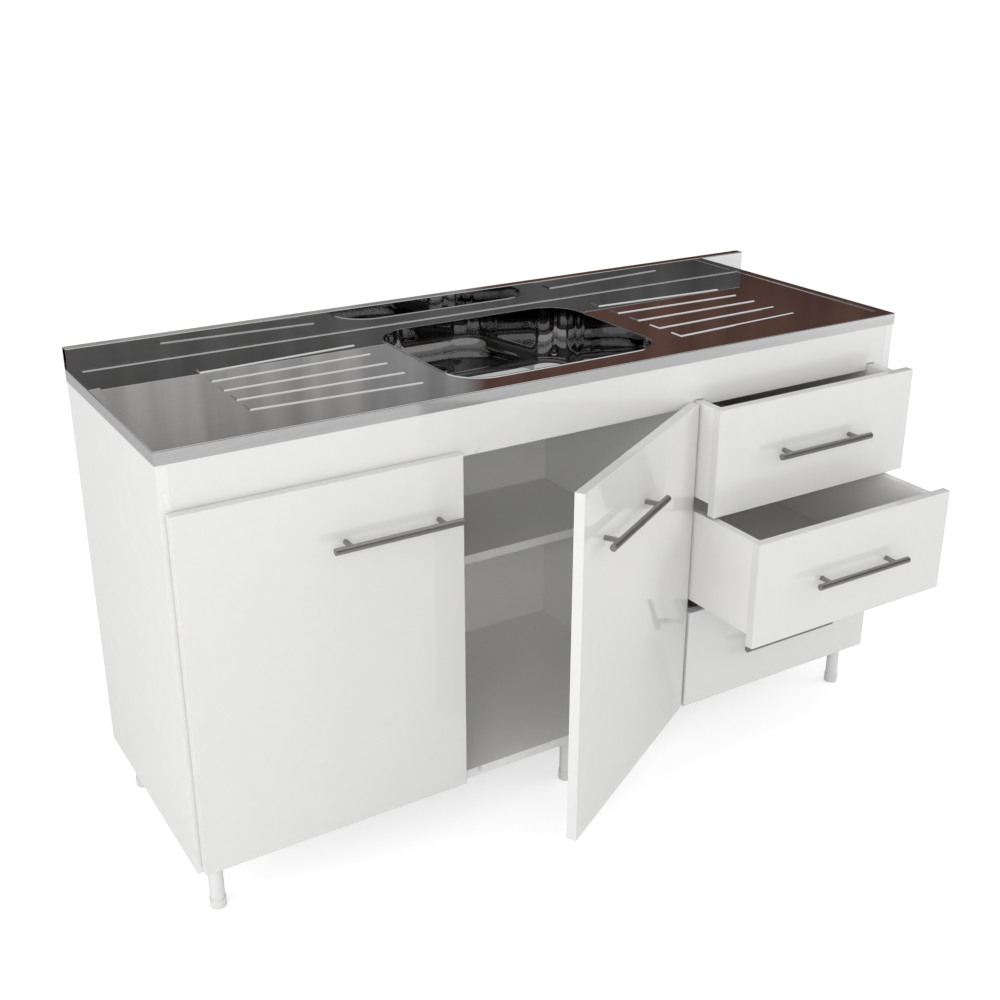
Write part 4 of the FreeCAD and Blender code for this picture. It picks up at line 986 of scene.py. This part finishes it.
@dataclass
class Worktop:
    """Pressed stainless worktop on its board core."""

    skirt: float = 22.0 * MM
    crease: float = 0.3 * MM
    step_crease: float = 0.8 * MM
    fold: float = 0.7 * MM
    sheet_edge: float = 0.15 * MM
    steps: int = 3
    press_angle: float = 12.0
    fold_angle: float = 50.0
    edge_angle: float = 60.0
    step_reach: float = 30.0 * MM
    side_margin: float = 8.0 * MM
    rear_margin: float = 24.0 * MM
    deck_below: float = 1.6 * MM
    deck_above: float = 2.2 * MM
    level_slack: float = 0.5 * MM
    upstand_margin: float = 15.0 * MM
    outer_band: float = 4.0 * MM
    upstand_foot: float = 3.0 * MM

    def build(self) -> None:
        """Make and dress the worktop."""
        dress_fittings("cabinet", [("worktop_core", CHIPBOARD, 0.2, 2)])
        low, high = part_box("steel_worktop")
        rim_top = low.z + self.skirt
        shape = merged_copy("steel_worktop")

        def on_deck(edge: Edge) -> bool:
            """Tell whether an edge is one of the pressed ones seen from above.

            Args:
                edge: An edge of the worktop.

            Returns:
                True for ribs, the recess and the bowl's opening.
            """
            middle = middle_of(edge)
            return (
                low.x + self.side_margin < middle.x < high.x - self.side_margin
                and low.y + self.side_margin < middle.y < high.y - self.rear_margin
                and rim_top - self.deck_below < middle.z < rim_top + self.deck_above
            )

        def on_step(edge: Edge) -> bool:
            """Tell whether a pressed edge bounds the recess.

            Args:
                edge: An edge of the worktop.

            Returns:
                True near the rim or the upstand.
            """
            middle = middle_of(edge)
            return on_deck(edge) and (
                min(middle.x - low.x, high.x - middle.x, middle.y - low.y) < self.step_reach
                or high.y - middle.y < 2.0 * self.step_reach
            )

        def on_fold(edge: Edge) -> bool:
            """Tell whether an edge is a fold.

            Args:
                edge: An edge of the worktop.

            Returns:
                True for the folds of the rim and the upstand's top.
            """
            middle = middle_of(edge)
            rim = abs(middle.z - rim_top) < self.level_slack and not on_deck(edge)
            upstand_top = middle.z > high.z - self.level_slack
            return (rim and middle.y < high.y - self.upstand_margin) or upstand_top

        def on_rib(edge: Edge) -> bool:
            """Tell whether a pressed edge is a rib's or the bowl opening's."""
            return on_deck(edge) and not on_step(edge)

        ease_edges(shape, self.step_crease, self.steps, self.press_angle, on_step)
        ease_edges(shape, self.crease, self.steps, self.press_angle, on_rib)
        ease_edges(shape, self.fold, self.steps, self.fold_angle, on_fold)
        ease_edges(shape, self.sheet_edge, 2, self.edge_angle)
        shape.normal_update()
        for face in shape.faces:
            middle = face.calc_center_median()
            to_edge = min(middle.y - low.y, middle.x - low.x, high.x - middle.x)
            outside = to_edge < self.outer_band or middle.z > rim_top + self.upstand_foot
            face.material_index = 1 if outside else 0
        finish_piece(
            shape, "steel_worktop_finished", "cabinet",
            [SHEET_STEEL, FOLD_STEEL], ["steel_worktop"],
        )


@dataclass
class Sink:
    """Drawn bowl with its waste, strainer and tailpiece."""

    length: float = 426.0 * MM
    width: float = 348.0 * MM
    corner: float = 68.0 * MM
    corner_steps: int = 18
    floor_corner: float = 30.0 * MM
    floor_steps: int = 10
    square: float = 60.0
    draft: float = 2.5
    wall: float = 0.8 * MM
    waste_radius: float = 36.0 * MM
    ring_count: int = 5
    first_inset: float = 1.0 * MM

    def build(self) -> None:
        """Make and dress the bowl and the waste."""
        self.bowl()
        dress_fittings("cabinet", [("strainer_flange", POLISHED, 0.25, 2)])
        dress_fittings("strainer_basket", [("strainer_basket", POLISHED, 0.15, 2)])
        dress_fittings("cabinet", [
            ("waste_gasket", RUBBER, 0.4, 3),
            ("waste_nut", MOULDED, 0.5, 3),
            ("waste_tailpiece", MOULDED, 0.3, 2),
        ])

    def bowl(self) -> None:
        """Draw the bowl as one deep shell with a round waste hole."""
        low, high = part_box("sink_bowl")
        inner_floor = low.z + self.wall
        depth = high.z - inner_floor
        shape = bmesh.new()
        bmesh.ops.create_cube(shape, size=1.0)
        bmesh.ops.scale(shape, vec=(self.length, self.width, depth), verts=shape.verts)
        ease_edges(
            shape, self.corner, self.corner_steps, self.square,
            lambda edge: edge.verts[0].co.z != edge.verts[1].co.z, slide=False,
        )
        floor = min(shape.faces, key=lambda face: face.calc_center_median().z)
        lid = max(shape.faces, key=lambda face: face.calc_center_median().z)
        narrow = 2.0 * math.tan(math.radians(self.draft)) * depth
        for vert in floor.verts:
            vert.co.x *= 1.0 - narrow / self.length
            vert.co.y *= 1.0 - narrow / self.width
        bmesh.ops.delete(shape, geom=[lid], context="FACES_ONLY")
        ease_edges(shape, self.floor_corner, self.floor_steps, self.square, slide=False)
        self.open_floor(shape, max(shape.faces, key=lambda face: len(face.verts)))
        middle = (low + high) / 2.0
        middle.z = inner_floor + depth / 2.0
        bmesh.ops.translate(shape, vec=middle, verts=shape.verts)
        bmesh.ops.recalc_face_normals(shape, faces=shape.faces)
        for face in shape.faces:
            face.normal_flip()
        bmesh.ops.solidify(shape, geom=shape.faces, thickness=self.wall)
        finish_piece(shape, "sink_bowl_finished", "cabinet", [BOWL_STEEL], ["sink_bowl"])

    def open_floor(self, shape: Shape, floor: Face) -> None:
        """Ring the floor down to the round waste hole.

        Args:
            shape: The bowl, centred on the origin.
            floor: Its floor face.
        """
        level = floor.calc_center_median().z
        outline = [vert.co.copy() for vert in floor.verts]
        for ring in range(1, self.ring_count + 1):
            share = ring / self.ring_count
            bmesh.ops.inset_individual(
                shape, faces=[floor], thickness=self.first_inset, use_even_offset=False
            )
            for vert in floor.verts:
                heading = vert.co.to_2d().normalized()
                outer = max(outline, key=lambda place: place.to_2d().normalized().dot(heading))
                reach = outer.to_2d().length * (1.0 - share) + self.waste_radius * share
                vert.co = Vector((heading.x * reach, heading.y * reach, level))
        bmesh.ops.delete(shape, geom=[floor], context="FACES_ONLY")


@dataclass
class Doors:
    """Two doors with handles, cup hinges and their screws."""

    left_pivot: float = -733.0 * MM
    left_handle: float = -382.0 * MM
    right_pivot: float = 237.333 * MM
    right_handle: float = -81.667 * MM
    right_stands: float = 30.0
    pivot_y: float = -41.5 * MM
    back_y: float = -30.0 * MM
    ease: float = 0.3 * MM
    cup_reach: float = 22.0 * MM
    cup_wing: float = 1.0 * MM
    cup_screw_half: float = 24.0 * MM
    plate_wing: float = 2.0 * MM
    plate_screw_half: float = 19.0 * MM
    hinge_heights: tuple[float, float] = (205.0 * MM, 640.5 * MM)
    handle_height: float = 637.5 * MM

    def build(self) -> None:
        """Make and dress both doors and the hinge arms."""
        stands = Turn(self.right_pivot, self.pivot_y, self.right_stands)
        self.door("left", SHUT, self.left_pivot + self.cup_reach, self.left_handle)
        self.door("right", stands, self.right_pivot - self.cup_reach, self.right_handle)
        dress_fittings("cabinet", [("hinge_arms", NICKEL, 0.35, 2), ("hinge_plates", NICKEL, 0.35, 2)])
        self.plate_screws()

    def door(self, side: str, turn: Turn, cup_x: float, handle_x: float) -> None:
        """Make one door.

        Args:
            side: left or right.
            turn: How the door stands.
            cup_x: Screws of its hinge cups, with the door shut.
            handle_x: Middle of its handle, with the door shut.
        """
        body = f"{side}_door"
        Dressed(
            f"{body}_panel", body, "gloss_white_front", GLOSS_FRONT, FRONT_EDGE, Axis.Y, OUTER_BOARD,
            self.ease, turn=turn,
        ).build()
        dress_fittings(body, [
            (f"{body}_handle", HANDLE_METAL, 0.8, 3),
            (f"{body}_hinge_cups", NICKEL, 0.2, 2),
            (f"{body}_hinge_pins", NICKEL, 0.2, 2),
        ], turn)
        places = [
            (Vector((cup_x, self.back_y + self.cup_wing, height + half)), Vector(Axis.Y.value))
            for height in self.hinge_heights
            for half in (-self.cup_screw_half, self.cup_screw_half)
        ]
        ScrewSet(f"{body}_cup_screws", body, "nickel_hinge", places, turn=turn).build()
        screw_handle(body, handle_x, self.back_y, self.handle_height, turn)

    def plate_screws(self) -> None:
        """Make the screws of the four mounting plates."""
        low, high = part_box("hinge_plates")
        middle_y = (low.y + high.y) / 2.0
        places = [
            (Vector((panel + inward * self.plate_wing, middle_y, height + half)), Vector((inward, 0.0, 0.0)))
            for panel, inward in ((low.x, 1.0), (high.x, -1.0))
            for height in self.hinge_heights
            for half in (-self.plate_screw_half, self.plate_screw_half)
        ]
        ScrewSet("hinge_plate_screws", "cabinet", "nickel_hinge", places).build()


@dataclass
class Drawers:
    """Three drawers with their boxes, handles and roller runners."""

    count: int = 3
    front_ease: float = 0.3 * MM
    box_ease: float = 0.4 * MM

    def build(self) -> None:
        """Make and dress the drawers and the fixed rails."""
        for number in range(1, self.count + 1):
            self.drawer(f"drawer_{number}")
        dress_fittings("cabinet", [
            ("cabinet_rails", ZINC, 0.2, 2),
            ("cabinet_rail_rollers", NYLON, 0.5, 3),
        ])

    def drawer(self, body: str) -> None:
        """Make one drawer.

        Args:
            body: Its body; the first is the top drawer.
        """
        Dressed(
            f"{body}_front", body, "gloss_white_front", GLOSS_FRONT, FRONT_EDGE, Axis.Y,
            DRAWER_INSIDE, self.front_ease,
        ).build()
        dress_fittings(body, [(f"{body}_handle", HANDLE_METAL, 0.8, 3)])
        boards = [
            ("left_side", Axis.X, DRAWER_BOARD, DRAWER_INSIDE),
            ("right_side", Axis.X, DRAWER_INSIDE, DRAWER_BOARD),
            ("back", Axis.Y, DRAWER_INSIDE, DRAWER_BOARD),
            ("bottom", Axis.Z, DRAWER_BOARD, DRAWER_INSIDE),
        ]
        for part, flat, low_side, high_side in boards:
            Dressed(
                f"{body}_{part}", body, "white_board", low_side, BOARD_EDGE, flat, high_side,
                self.box_ease,
            ).build()
        dress_fittings(body, [(f"{body}_slides", ZINC, 0.2, 2), (f"{body}_rollers", NYLON, 0.5, 3)])
        low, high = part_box(f"{body}_handle")
        middle = (low + high) / 2.0
        screw_handle(body, middle.x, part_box(f"{body}_front")[1].y, middle.z)


# ---------------- studio


def stage_piece(shape: Shape, name: str, paint: Material) -> bpy.types.Object:
    """Turn a bmesh into a piece of the studio.

    Args:
        shape: The bmesh. It is freed.
        name: Name of the piece.
        paint: Its material.

    Returns:
        The new object.
    """
    mesh = bpy.data.meshes.new(name)
    shape.to_mesh(mesh)
    shape.free()
    mesh.materials.append(paint)
    piece = bpy.data.objects.new(name, mesh)
    bpy.context.scene.collection.objects.link(piece)
    return piece


@dataclass
class Studio:
    """Plain pale floor, soft light and the photograph's camera."""

    camera_place: tuple[float, float, float] = (-1.24015, -1.77141, 1.49366)
    camera_turn: tuple[float, float, float] = (67.74, 0.0, -31.518)
    lens: float = 47.035
    sensor: float = 36.0
    shift: tuple[float, float] = (0.0014, -0.0107)
    floor_size: float = 40.0
    floor_colour: Colour = (0.86, 0.86, 0.86)
    floor_lift: float = 0.46
    sky_level: float = 0.64
    lamp_aim: tuple[float, float, float] = (0.0, 0.0, 0.5)

    def build(self) -> None:
        """Make the camera, floor, sky, room and lamps."""
        self.camera()
        self.floor()
        self.sky()
        Room().build()
        self.lamp("key_left", (-3.8, -0.6, 1.9), size=2.6, power=34.0)
        self.lamp("fill_front", (-2.3, -3.9, 1.9), size=3.0, power=72.0)
        self.lamp("fill_right", (4.2, -2.2, 1.2), size=2.6, power=46.0)

    def camera(self) -> None:
        """Make the photograph's camera."""
        data = bpy.data.cameras.new("photo_camera")
        data.lens = self.lens
        data.sensor_width = self.sensor
        data.shift_x, data.shift_y = self.shift
        camera = bpy.data.objects.new("photo_camera", data)
        camera.location = self.camera_place
        camera.rotation_euler = [math.radians(part) for part in self.camera_turn]
        bpy.context.scene.collection.objects.link(camera)
        bpy.context.scene.camera = camera

    def floor(self) -> None:
        """Make the pale floor, white to the camera apart from the object's shadow."""
        paint = Palette("pale_floor")
        paint.set(Roughness=0.9, Specular_IOR_Level=0.1)
        paint.set(Base_Color=(*self.floor_colour, 1.0), Emission_Color=WHITE)
        seen = paint.node("LightPath").outputs["Is Camera Ray"]
        lift = paint.math("MULTIPLY", seen, self.floor_lift)
        paint.feed(lift, paint.shader.inputs["Emission Strength"])
        shape = bmesh.new()
        bmesh.ops.create_grid(shape, x_segments=2, y_segments=2, size=self.floor_size / 2.0)
        stage_piece(shape, "studio_floor", paint.material)

    def sky(self) -> None:
        """Make the even sky: white where it is seen, softer where it lights."""
        world = bpy.data.worlds.new("studio_sky")
        bpy.context.scene.world = world
        world.use_nodes = True
        wires = Wiring(world.node_tree)
        back = wires.tree.nodes["Background"]
        back.inputs["Color"].default_value = WHITE
        path = wires.node("LightPath").outputs
        seen = wires.math("MAXIMUM", path["Is Camera Ray"], path["Is Glossy Ray"])
        seen = wires.math("MAXIMUM", seen, path["Is Transmission Ray"])
        wires.feed(wires.spread(seen, self.sky_level, 1.0), back.inputs["Strength"])

    def lamp(self, name: str, place: Sequence[float], size: float, power: float) -> None:
        """Hang one soft lamp that looks at the middle of the unit.

        Args:
            name: Name of the lamp.
            place: Where it hangs, in metres.
            size: Side of its square, in metres.
            power: Power in watts.
        """
        data = bpy.data.lights.new(name, "AREA")
        data.size = size
        data.energy = power
        lamp = bpy.data.objects.new(name, data)
        lamp.location = place
        aim = Vector(self.lamp_aim) - Vector(place)
        lamp.rotation_euler = aim.to_track_quat("-Z", "Y").to_euler()
        lamp.visible_glossy = False
        bpy.context.scene.collection.objects.link(lamp)


@dataclass
class Room:
    """Toned wall around the studio that is seen only in mirror images.

    Its headings are degrees from straight back, positive to the right.
    """

    radius: float = 6.0
    height: float = 5.5
    sides: int = 128
    tones: tuple[tuple[float, Colour], ...] = (
        (-180.0, (0.19, 0.185, 0.18)),
        (-60.0, (0.24, 0.235, 0.23)),
        (-20.0, (0.46, 0.445, 0.435)),
        (21.0, (0.46, 0.445, 0.435)),
        (24.0, (0.31, 0.305, 0.31)),
        (28.2, (0.32, 0.315, 0.32)),
        (29.0, (0.14, 0.075, 0.06)),
        (62.0, (0.1, 0.055, 0.045)),
        (80.0, (0.24, 0.235, 0.23)),
        (110.0, (0.13, 0.13, 0.135)),
        (139.0, (0.17, 0.165, 0.165)),
        (150.0, (0.21, 0.205, 0.2)),
        (180.0, (0.19, 0.185, 0.18)),
    )
    streak_stretch: tuple[float, float, float] = (1.0, 1.0, 0.08)

    def build(self) -> None:
        """Stand the wall."""
        shape = bmesh.new()
        bmesh.ops.create_cone(
            shape, cap_ends=False, segments=self.sides, radius1=self.radius, radius2=self.radius,
            depth=self.height,
        )
        bmesh.ops.translate(shape, vec=(0.0, 0.0, self.height / 2.0), verts=shape.verts)
        wall = stage_piece(shape, "room_wall", self.paint())
        wall.visible_camera = False
        wall.visible_diffuse = False
        wall.visible_shadow = False

    def paint(self) -> Material:
        """Draw the wall's tones, with upright streaks, darker low down and at the top.

        Returns:
            The material.
        """
        paint = Palette("room_paint")
        coordinates = paint.node("TexCoord").outputs["Object"]
        parts = paint.split(coordinates)
        heading = paint.math("ARCTAN2", parts["X"], parts["Y"])
        ramp = paint.node("ValToRGB")
        stops = ramp.color_ramp.elements
        stops[0].color = (*self.tones[0][1], 1.0)
        stops[-1].color = (*self.tones[-1][1], 1.0)
        for degrees, colour in self.tones[1:-1]:
            stops.new((degrees + 180.0) / 360.0).color = (*colour, 1.0)
        paint.feed(paint.span(heading, start=(-math.pi, math.pi)), ramp.inputs["Fac"])
        streaks = paint.noise(paint.place(self.streak_stretch), scale=5.0, detail=4.0)
        lift = paint.span(parts["Z"], start=(1.9, 2.3), end=(0.7, 1.0), smooth=True)
        fade = paint.span(parts["Z"], start=(2.4, 3.8), end=(1.0, 0.4), smooth=True)
        upright = paint.math("MULTIPLY", lift, fade)
        strength = paint.math("MULTIPLY", paint.spread(streaks, low=0.5, high=1.5), upright)
        paint.set(Base_Color=BLACK, Specular_IOR_Level=0.0)
        paint.feed(ramp.outputs["Color"], paint.shader.inputs["Emission Color"])
        paint.feed(strength, paint.shader.inputs["Emission Strength"])
        return paint.material


def main() -> None:
    """Build the sub-assemblies in order."""
    logging.basicConfig(level=logging.INFO, format="%(message)s")
    bpy.context.scene.view_settings.view_transform = "Standard"
    for assembly in (Studio(), Carcass(), Legs(), Worktop(), Sink(), Doors(), Drawers()):
        assembly.build()
        LOG.info("%s built", type(assembly).__name__)


if __name__ == "__main__":
    main()
